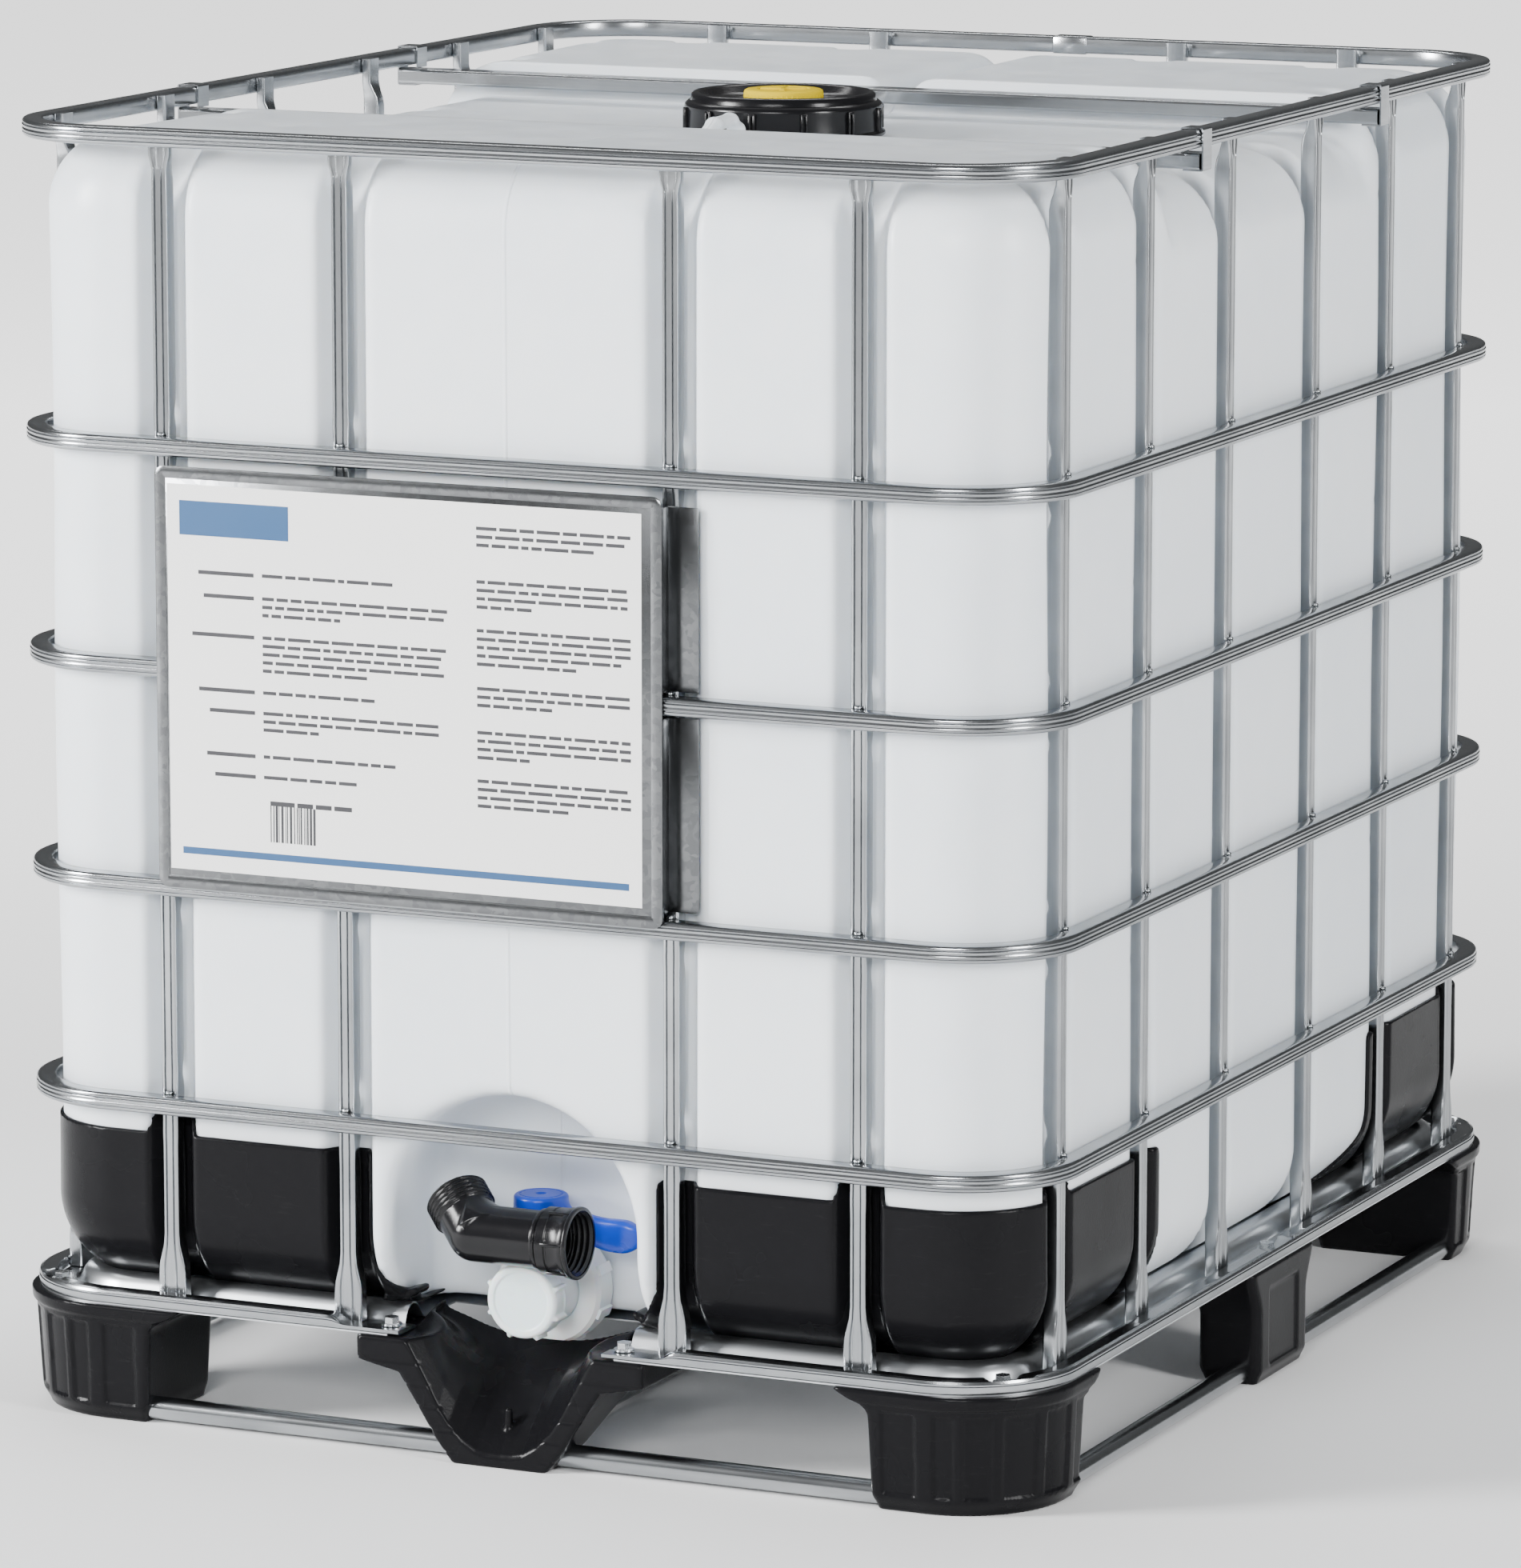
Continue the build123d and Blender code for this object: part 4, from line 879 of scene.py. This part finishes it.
def base_ring_piece():
    """The lower ring: a grooved tube with a foot flange, crushed flat at its bolts."""
    outline = np.array(plan_path(0.0, 0.0, None, 24))[:, :2]
    closed = np.vstack([outline, outline[:1]])
    run = np.concatenate([[0], np.cumsum(np.hypot(*np.diff(closed, axis=0).T))])
    spots = np.arange(98.0, run[-1] - 97.0, 5.0)
    section = [(0.4, 108.6), (0, 111), (0, 114.4), (0.9, 115.2), (0.9, 116.2), (0, 117), (0.9, 119),
               (3.4, 120.2), (8, 119.0), (13, 120.2), (16.6, 119.4), (18, 117), (18, 112.6),
               (19.2, 111), (33, 110.6), (34, 109.4), (33.4, 107.6), (2, 107.6)]

    def at(spot):
        """The outline point at that length."""
        return np.array([np.interp(spot, run, closed[:, k]) for k in (0, 1)])

    sections = []
    for spot in spots:
        point, ahead = at(spot), at(spot + 2) - at(spot - 2)
        out = np.array((ahead[1], -ahead[0])) / np.hypot(*ahead)
        x, y = np.abs(point)
        end = 1 - smooth_step(149.0, 166.0, x) if point[1] < -590 else 0.0
        cup = 1 - smooth_step(9.0, 21.0, np.hypot(x - RING_HALF_X + 30.8, y - RING_HALF_Y + 30.8))
        if x > RING_HALF_X - 4:
            cup = max(cup, 1 - smooth_step(14.0, 27.0, y))
        if point[1] > RING_HALF_Y - 4:
            cup = max(cup, 1 - smooth_step(14.0, 27.0, x))
        row = []
        for inset, z in section:
            press = max(end, cup * smooth_step(2.0, 5.0, inset))
            z = z - press * max(z - 111.6, 0)
            row.append((*(point - out * inset), z))
        sections.append(row)
    make_piece("base_ring_tube", *loft(sections), "tube_x", node="base_ring", angle=40)


base_ring_piece()


def ring_piece(name, middle):
    """A cage ring: a tube with two grooves in its outer face, joined by a sleeve behind."""
    half = [(0.9, 0), (0.25, 1.1), (0, 2.2), (0.3, 2.9), (1.7, 3.4), (1.7, 3.9), (0.4, 4.4),
            (0.5, 5.6), (1.2, 6.8), (2.4, 7.6), (4.2, 8), (15.5, 8), (17.3, 7.3), (18, 5.6)]
    section = [(inset, -z) for inset, z in reversed(half[1:])] + half
    tube = loop_sweep([(inset, middle + z) for inset, z in section], steps=16)
    sleeve = soft_box((42, RING_HALF_Y - 9, middle), (36, 19.4, 17.4), 1.8)
    make_piece(name + "_tube", *joined(tube, sleeve), "tube_x", node=name, angle=48)


for ring_name, ring_middle in zip(RING_NAMES, RING_HEIGHTS):
    ring_piece(ring_name, ring_middle)


def strap_screws():
    """A dome-headed screw through each crossbar clamp."""
    low, high = box_mm("crossbar_straps")
    domes = []
    for side in (-1, 1):
        for y in (-220.0, 220.0):
            profile = [(0, -2.4), (5.0, -2.4), (5.0, -1.4), (3.6, -0.4), (0, 0)]
            domes.append(lathe(profile, (side * high[0], y, low[2] + 7.0), (side, 0, 0), 20, False))
    make_piece("strap_screw_heads", *joined(*domes), "bolt", on="base_ring", slot="zinc_bolt")


strap_screws()


# ================================================================ welds
def weld_piece():
    """Resistance-weld nuggets where each upright meets each ring."""
    dots = []
    for name, (low, high) in UPRIGHTS.items():
        middle = (low + high) / 2
        out = OUTWARD[name.split("_")[1]]
        face_x = middle[0] + out[0] * 8.0
        face_y = middle[1] + out[1] * 8.0
        for ring in WELDED_HEIGHTS:
            for dz in (-9.0, 9.0):
                dots.append(lathe([(0, -1.6), (2.6, -1.2), (3.4, 0), (2.6, 1.2), (0, 1.6)],
                                  origin=(face_x + out[0] * 0.4, face_y + out[1] * 0.4, ring + dz),
                                  axis=(0, 0, 1), segments=10, closed=False))
    make_piece("weld_nuggets", *joined(*dots), "bolt", on="base_ring", slot="galvanised_tube")


weld_piece()


# ================================================================ label plate
def plate_piece():
    """The front plate: a flat sheet with a rolled hem, and flanges back to the uprights."""
    low, high = box_mm("label_plate")
    x1, x2, z1, z2 = low[0], high[0], low[2], high[2]
    front = low[1]
    back = front + 1.4
    sheet = soft_box(((x1 + x2) / 2, back, (z1 + z2) / 2), (x2 - x1 - 4, 1.0, z2 - z1 - 4), 0.3)
    hem = []
    corner = 9.0
    for x, z, start in ((x2, z2, 0), (x1, z2, 90), (x1, z1, 180), (x2, z1, 270)):
        for i in range(7):
            a = radians(start + 15 * i)
            cx = x - corner if x == x2 else x + corner
            cz = z - corner if z == z2 else z + corner
            hem.append((cx, cz, cos(a), sin(a)))
    section = [(0.0, 1.9), (0.0, 0.6), (-1.2, 0.0), (-5.0, 0.0), (-9.2, 0.0), (-10.4, 0.7),
               (-10.4, 1.9), (-5.0, 2.4)]
    sections = [[(cx + (corner + d) * ux, front + y, cz + (corner + d) * uz)
                 for d, y in section] for cx, cz, ux, uz in hem]
    parts = [sheet, loft(sections, ring=True)]
    upright_face = -RING_HALF_Y + 18.0
    for z_low, z_high in ((z1 + 12, RING_HEIGHTS[2] - 11), (RING_HEIGHTS[2] + 11, z2 - 10)):
        middle, tall = (z_low + z_high) / 2, z_high - z_low
        depth = upright_face - front - 3.0
        web_y = front + 2 + depth / 2
        for x, y, wide, deep in ((x2 - 3, web_y, 1.2, depth),
                                 (x2 + 11, upright_face - 1.0, 29, 1.2),
                                 (x1 + 3, web_y, 1.2, depth)):
            parts.append(soft_box((x, y, middle), (wide, deep, tall), 0.4))
    make_piece("label_plate_pressing", *joined(*parts), "plate", node="label_plate", angle=35)


plate_piece()


def flat_boxes(boxes, front, thick):
    """Thin slabs on the label's front, from (x1, x2, z1, z2) rectangles."""
    parts = []
    for x1, x2, z1, z2 in boxes:
        centre = ((x1 + x2) / 2, front - thick / 2, (z1 + z2) / 2)
        size = (x2 - x1, thick, z2 - z1)
        points = [tuple(c + s * d for c, s, d in zip(centre, size, corner))
                  for corner in [(i, j, k) for i in (-0.5, 0.5) for j in (-0.5, 0.5)
                                 for k in (-0.5, 0.5)]]
        faces = [(0, 1, 3, 2), (4, 6, 7, 5), (0, 4, 5, 1), (2, 3, 7, 6), (0, 2, 6, 4), (1, 5, 7, 3)]
        parts.append((points, faces))
    return joined(*parts)


def label_pieces():
    """A printed sheet with plain bars in place of words, and no marks."""
    low, high = box_mm("label_plate")
    x1, x2 = low[0] + 12, high[0] - 19
    z1, z2 = low[2] + 17, high[2] - 15
    front = low[1] + 0.85
    place = {"on": "label_plate", "slot": "galvanised_sheet", "smooth": False}
    make_piece("label_sheet", *flat_boxes([(x1, x2, z1, z2)], front, 0.3), "paper", **place)
    rng = np.random.default_rng(7)
    ink = []
    band = [(x1 + 12, x1 + 118, z2 - 44, z2 - 14), (x1 + 12, x2 - 12, z1 + 14, z1 + 20)]

    def words(left, right, top, lines, tall=3.0, gap=7.2):
        """Lines of word-like bars."""
        for row in range(lines):
            x = left
            end = right if row < lines - 1 else left + (right - left) * rng.uniform(0.35, 0.8)
            z = top - row * gap
            while x < end - 8:
                long = min(rng.uniform(6, 24), end - x)
                ink.append((x, x + long, z - tall, z))
                x += long + 2.6

    column = x1 + 92
    for top, lines in ((z2 - 74, 1), (z2 - 94, 3), (z2 - 128, 5), (z2 - 176, 1), (z2 - 194, 3),
                       (z2 - 232, 1), (z2 - 250, 1)):
        long = rng.uniform(34, 66)
        ink.append((column - 8 - long, column - 8, top - 3.4, top))
        words(column, column + 178, top, lines)
    words(column + 6, column + 150, z2 - 272, 1, 4.0)
    right = x1 + 298
    for top, lines in ((z2 - 20, 3), (z2 - 66, 4), (z2 - 108, 5), (z2 - 158, 3), (z2 - 196, 4),
                       (z2 - 238, 4)):
        words(right, x2 - 10, top, lines)
    x = x1 + 98
    while x < x1 + 142:
        wide = rng.choice([0.7, 1.0, 1.5, 2.2])
        ink.append((x, x + wide, z1 + 30, z1 + 62))
        x += wide + rng.choice([0.8, 1.2, 1.8])
    for name, boxes, material in (("label_print", ink, "ink"), ("label_bands", band, "band")):
        make_piece(name, *flat_boxes(boxes, front - 0.3, 0.12), material, **place)


label_pieces()


# ================================================================ lid and bung
def lid_piece():
    """The screw lid: skirt with hairpin lugs, rolled rim and sunk deck."""
    low, high = box_mm("lid")
    radius = high[0] - 2.5
    z1, z2 = low[2], high[2]
    skirt = [(0.6, 0.5), (1.6, 1.6), (1.6, 3.6), (0.4, 4.6), (-1.6, 6.0), (-1.9, 24), (-1.0, 26.5),
             (-1.4, 29), (-4.2, 31.5), (-6.2, 32.2), (-6.8, 34.2), (-7.4, 37.6)]
    rim = [(-9.6, -0.8), (-12.4, -0.4), (-15.2, -2.2)]
    deck = [(41, 28.4), (38.5, 30.5), (30.2, 30.5), (30.2, 22), (82, 22)]
    profile = [(82.0, z1 + 0.5), *shifted(skirt, radius, z1), *shifted(rim, radius, z2),
               *shifted([(-18.5, 33), (-24, 30), (-33, 28.6)], radius, z1),
               *shifted(deck, 0, z1)]
    parts = [lathe(profile, segments=128)]
    for i in range(12):
        turn = Matrix.Rotation(radians(30 * i + 6), 3, "Z")
        for offset in (-2.2, 2.2):
            centre = turn @ Vector((radius - 0.6, offset, z1 + 15))
            parts.append(soft_box(centre, (4.6, 2.4, 21.0), 1.1, turn))
        centre = turn @ Vector((radius - 0.6, 0, z1 + 25.2))
        parts.append(soft_box(centre, (4.4, 6.8, 2.6), 1.1, turn))
    make_piece("lid_moulding", *joined(*parts), "gloss", node="lid", angle=45)


def bung_piece():
    """The yellow plug: a low drum with a knurled edge and a sunk key cross."""
    low, high = box_mm("bung")
    z1, z2 = low[2] + 16, high[2]
    radius = high[0]
    profile = [(0, low[2]), (29.4, low[2]), (29.4, z1), (radius - 0.6, z1), (radius, z1 + 0.8),
               (radius, z2 - 5.2), (radius - 0.5, z2 - 3.8), (radius - 2.2, z2 - 2.8),
               (radius - 6, z2 - 2.4), (24, z2 - 2.2), (22.6, z2 - 3.6), (0, z2 - 3.6)]
    parts = [lathe(profile, segments=96, closed=False)]
    ribs = 48
    for i in range(ribs):
        turn = Matrix.Rotation(2 * pi * i / ribs, 3, "Z")
        centre = turn @ Vector((radius - 0.2, 0, z1 + 4.6))
        parts.append(soft_box(centre, (1.0, 1.5, 6.6), 0.4, turn, segments=1))
    for turn_degrees in (0, 90):
        turn = Matrix.Rotation(radians(turn_degrees + 20), 3, "Z")
        parts.append(soft_box((0, 0, z2 - 3.0), (42, 5.0, 3.2), 0.9, turn))
    make_piece("bung_moulding", *joined(*parts), "yellow", node="bung", angle=45)


lid_piece()
bung_piece()


# ================================================================ discharge valve
STEM_Y = middle_mm("valve_stem")[1]
NUT_LOW, NUT_HIGH = box_mm("spout_nut")
SPOUT_Y, SPOUT_Z = middle_mm("spout_nut")[1:]
LEVER_LOW, LEVER_HIGH = box_mm("valve_lever")
CAP_LOW, CAP_HIGH = box_mm("outlet_cap")
ELBOW_LOW, ELBOW_HIGH = box_mm("spout_elbow")
PIPE_RADIUS, PIPE_BORE = 25.2, 22.0


def lever_field(x, y, z):
    """The lever: a capped hub and a flat handle that droops to a round end."""
    across = np.hypot(x, y - STEM_Y)
    top, low = LEVER_HIGH[2], LEVER_LOW[2] + 0.5
    hub = blend_max(across - 24.0 - 0.04 * (top - z), z - top, 3.0)
    hub = blend_max(hub, low - z, 1.5)
    groove = np.abs(z - (top - 11.0)) - 0.6
    hub = np.maximum(hub, -np.maximum(groove, 23.0 - across))
    dimple = blend_max(across - 4.5, (top - 1.6) - z, 0.5)
    rim = np.abs(across - 18.5) - 0.7
    hub = np.maximum(hub, -np.maximum(rim, (top - 1.0) - z))
    hub = np.maximum(hub, -dimple)
    t = np.clip((x - 8.0) / 70.0, 0, 1)
    middle = 207.0 - 12.0 * smooth_step(0.05, 0.85, t)
    half_tall = 11.0 + 3.5 * smooth_step(0.15, 0.95, t)
    half_wide = 8.0 - 1.5 * smooth_step(0.0, 0.4, t) + 2.0 * smooth_step(0.6, 1.0, t)
    end = np.maximum(x - 78.0, 0) + np.maximum(8.0 - x, 0)
    arm = ((((y - STEM_Y) / half_wide) ** 4 + ((z - middle) / half_tall) ** 4 + 1e-6) ** 0.5
           + (end / 19.0) ** 2) ** 0.5
    arm = (arm - 1.0) * 7.5
    hollow = box_field(x, y, z, (52.0, STEM_Y, low - 4), (28.0, 2.6, 12.0), 2.0)
    arm = np.maximum(arm, -hollow)
    solid = blend_min(hub, arm, 5.0)
    return np.maximum(solid, -np.maximum(across - 5.1, z - (top - 8)))


field_piece("valve_lever_moulding", lever_field, (-25, STEM_Y - 25, LEVER_LOW[2] - 10),
            (99, STEM_Y + 25, LEVER_HIGH[2]), 1.4, "blue", node="valve_lever")


def cap_field(x, y, z):
    """The outlet's screw cap: soft-edged drum, dished face and eight lugs."""
    face, end = CAP_LOW[1], CAP_HIGH[1]
    across = np.hypot(x, z - VALVE_Z)
    around = np.arctan2(z - VALVE_Z, x)
    bulge = np.cos(8 * (around - radians(22.5)))
    lugs = smooth_step(0.80, 0.97, bulge) * smooth_step(face + 1.5, face + 5.0, y)
    radius = 33.2 + 3.4 * lugs + 0.8 * smooth_step(end - 4, end - 2, y)
    drum = blend_max(across - radius, face - y, 4.0)
    drum = blend_max(drum, y - end, 0.8)
    drum = np.maximum(drum, -blend_max(across - 26.0, y - (face + 0.9), 0.6))
    inside = np.maximum(across - 30.4, (face + 2.5) - y)
    return np.maximum(drum, -inside)


field_piece("outlet_cap_moulding", cap_field, CAP_LOW - 2, CAP_HIGH + 2, 1.2, "white",
            node="outlet_cap")


def elbow_field(x, y, z):
    """The pouring spout: a bent pipe with collars at the nut and a threaded end."""
    rise, lean = radians(48.0), radians(38.0)
    bend_x = -36.0
    v, w = y - SPOUT_Y, z - SPOUT_Z
    aim = (-cos(rise), sin(rise) * sin(lean), sin(rise) * cos(lean))
    run = (x - bend_x) * aim[0] + v * aim[1] + w * aim[2]
    off = np.sqrt(np.maximum((x - bend_x) ** 2 + v ** 2 + w ** 2 - run ** 2, 0))
    leg = np.hypot(v, w)
    pipe_a = np.maximum(np.maximum(leg - PIPE_RADIUS, x - 45.0), bend_x - x)
    end = 44.0
    ridge = np.clip(1.6 - np.abs(np.mod(run, 4.4) - 2.2) * 1.6, 0, 1)
    thick = 1.4 * smooth_step(21.0, 22.5, run) + 1.8 * ridge * (run > 23.5) * (run < end - 1.5)
    pipe_b = np.maximum(np.maximum(off - PIPE_RADIUS - thick, run - end), -run)
    ball = np.sqrt((x - bend_x) ** 2 + v ** 2 + w ** 2)
    outer = np.minimum(blend_min(pipe_a, pipe_b, 8.0), ball - PIPE_RADIUS)
    collar = np.maximum(leg - 27.4, np.abs(x - 29.6) - 2.0)
    outer = blend_min(outer, collar, 1.0)
    flange = np.maximum(leg - 28.8, np.abs(x - 43.5) - 1.4)
    outer = np.minimum(outer, flange)
    line = np.maximum(np.abs(v) - 0.5, np.where(w > 0, leg - 25.8, 1e3))
    outer = np.minimum(outer, np.maximum(line, np.abs(x) - 30.0))
    bore_a = np.maximum(leg - PIPE_BORE, bend_x - x)
    bore_b = np.maximum(off - PIPE_BORE, -run)
    bore = np.minimum(np.minimum(bore_a, bore_b), ball - PIPE_BORE)
    return np.maximum(outer, -bore)


field_piece("spout_elbow_moulding", elbow_field, ELBOW_LOW - 5, ELBOW_HIGH + 5, 1.0, "gloss",
            node="spout_elbow")


def spout_nut_piece():
    """The spout's coupling nut, with collars outside and a coarse thread inside."""
    x1, x2 = NUT_LOW[0], NUT_HIGH[0]
    big = (NUT_HIGH[2] - NUT_LOW[2]) / 2
    back = [(-3.2, 0), (-2.4, 0.8), (-2.4, 8.5), (-3.4, 9.3), (-3.4, 11.0), (-2.2, 12.0)]
    mouth = [(-2.2, -10), (-1.2, -8.6), (-1.2, -4.6), (-0.2, -3.6), (0, -2.2), (-0.3, -0.4),
             (-1.2, 0)]
    outside = [(25.9, x1), *shifted(back, big, x1), *shifted(mouth, big, x2)]
    inside = [(28.6, x2)]
    x = x2 - 1.5
    while x > x1 + 12:
        inside += [(28.7, x), (26.4, x - 2.2), (26.4, x - 2.9), (28.7, x - 3.9)]
        x -= 5.4
    inside += [(29.0, x1 + 7.6), (25.9, x1 + 7.6)]
    origin = (0, SPOUT_Y, SPOUT_Z)
    parts = [lathe(outside + inside, origin=origin, axis=(1, 0, 0), segments=96)]
    for i in range(6):
        turn = Matrix.Rotation(radians(60 * i + 24), 3, "X")
        centre = Vector(origin) + turn @ Vector(((x1 + x2) / 2 + 1, 0, big - 2.0))
        parts.append(soft_box(centre, (20.0, 3.0, 2.6), 0.9, turn))
    make_piece("spout_nut_moulding", *joined(*parts), "gloss", node="spout_nut", angle=40)


spout_nut_piece()


# ================================================================ stage, light and camera
def studio():
    """A wide pale floor that glows far from the object, soft lights and a graded sky."""
    near, far, half = -24.0, 32.0, 24.0
    mesh = bpy.data.meshes.new("floor")
    mesh.from_pydata([(-half, near, 0), (half, near, 0), (half, far, 0), (-half, far, 0)], [],
                     [(0, 1, 2, 3)])
    paint = Shader("studio_floor", Roughness=0.75)
    away = paint.node("ShaderNodeSeparateXYZ", {"Vector": paint.place}).outputs["Y"]
    paint.set(paint.bsdf, "Emission Color", (1.0, 1.0, 1.0, 1.0))
    paint.finish(Base_Color=paint.ramp(paint.noise(1.5), (0.3, (0.94, 0.94, 0.94)),
                                       (0.7, (0.96, 0.96, 0.96))),
                 Emission_Strength=paint.maths("ADD", paint.remap(away, 1.0, 6.5, 0.0, 1.6),
                                               paint.remap(away, -3.5, -8.0, 0.0, 0.6)))
    mesh.materials.append(paint.material)
    floor = linked("floor", mesh)
    floor.rotation_euler.z = CAMERA_YAW

    def light(name, place, size, power, colour=(1, 1, 1), aim=(0, 0, 0.6)):
        """A soft rectangular light."""
        lamp = bpy.data.lights.new(name, "AREA")
        lamp.shape = "RECTANGLE"
        lamp.size, lamp.size_y = size
        lamp.energy = power
        lamp.color = colour
        made = linked(name, lamp)
        made.location = place
        made.rotation_euler = (Vector(aim) - Vector(place)).to_track_quat("-Z", "Y").to_euler()

    light("key", (-4.5, -3.9, 2.5), (1.4, 2.6), 760.0)
    light("front", (1.2, -6.8, 2.9), (2.4, 1.4), 300.0)
    light("side", (4.8, -1.6, 2.2), (1.0, 2.6), 240.0)
    light("top", (0.0, 1.4, 4.8), (4.5, 3.0), 30.0)
    light("backdrop", (-1.5, 2.2, 4.5), (5.0, 1.0), 250.0, aim=(-2.2, 5.0, 0.0))
    world = bpy.data.worlds.new("studio")
    world.use_nodes = True
    tree = world.node_tree
    place = tree.nodes.new("ShaderNodeTexCoord").outputs["Generated"]
    split = tree.nodes.new("ShaderNodeSeparateXYZ")
    tree.links.new(place, split.inputs[0])
    ramp = tree.nodes.new("ShaderNodeValToRGB")
    tree.links.new(split.outputs["Z"], ramp.inputs[0])
    elements = ramp.color_ramp.elements
    for position, grey in ((0.0, 0.13), (0.10, 0.10), (0.35, 0.14), (0.75, 0.18)):
        element = elements[0] if position == 0.0 else elements.new(position)
        element.position = position
        element.color = (grey * 0.97, grey * 0.99, grey, 1.0)
    elements[-1].color = (0.18, 0.183, 0.186, 1.0)
    tree.links.new(ramp.outputs[0], tree.nodes["Background"].inputs[0])
    tree.nodes["Background"].inputs[1].default_value = 1.0
    bpy.context.scene.world = world


CAMERA_YAW = radians(24.44)
CAMERA_PITCH = radians(-10.07)
CAMERA_PLACE = (3.091, -6.852, 1.840)
CAMERA_LENS = 190.5


def camera():
    """The photographer's view: a long lens, right of the front and a little above."""
    lens = bpy.data.cameras.new("camera")
    lens.sensor_fit = "AUTO"
    lens.sensor_width = 36.0
    lens.lens = CAMERA_LENS
    lens.clip_end = 100.0
    made = linked("camera", lens)
    made.location = CAMERA_PLACE
    made.rotation_euler = (pi / 2 + CAMERA_PITCH, 0.0, CAMERA_YAW)
    bpy.context.scene.camera = made


studio()
camera()
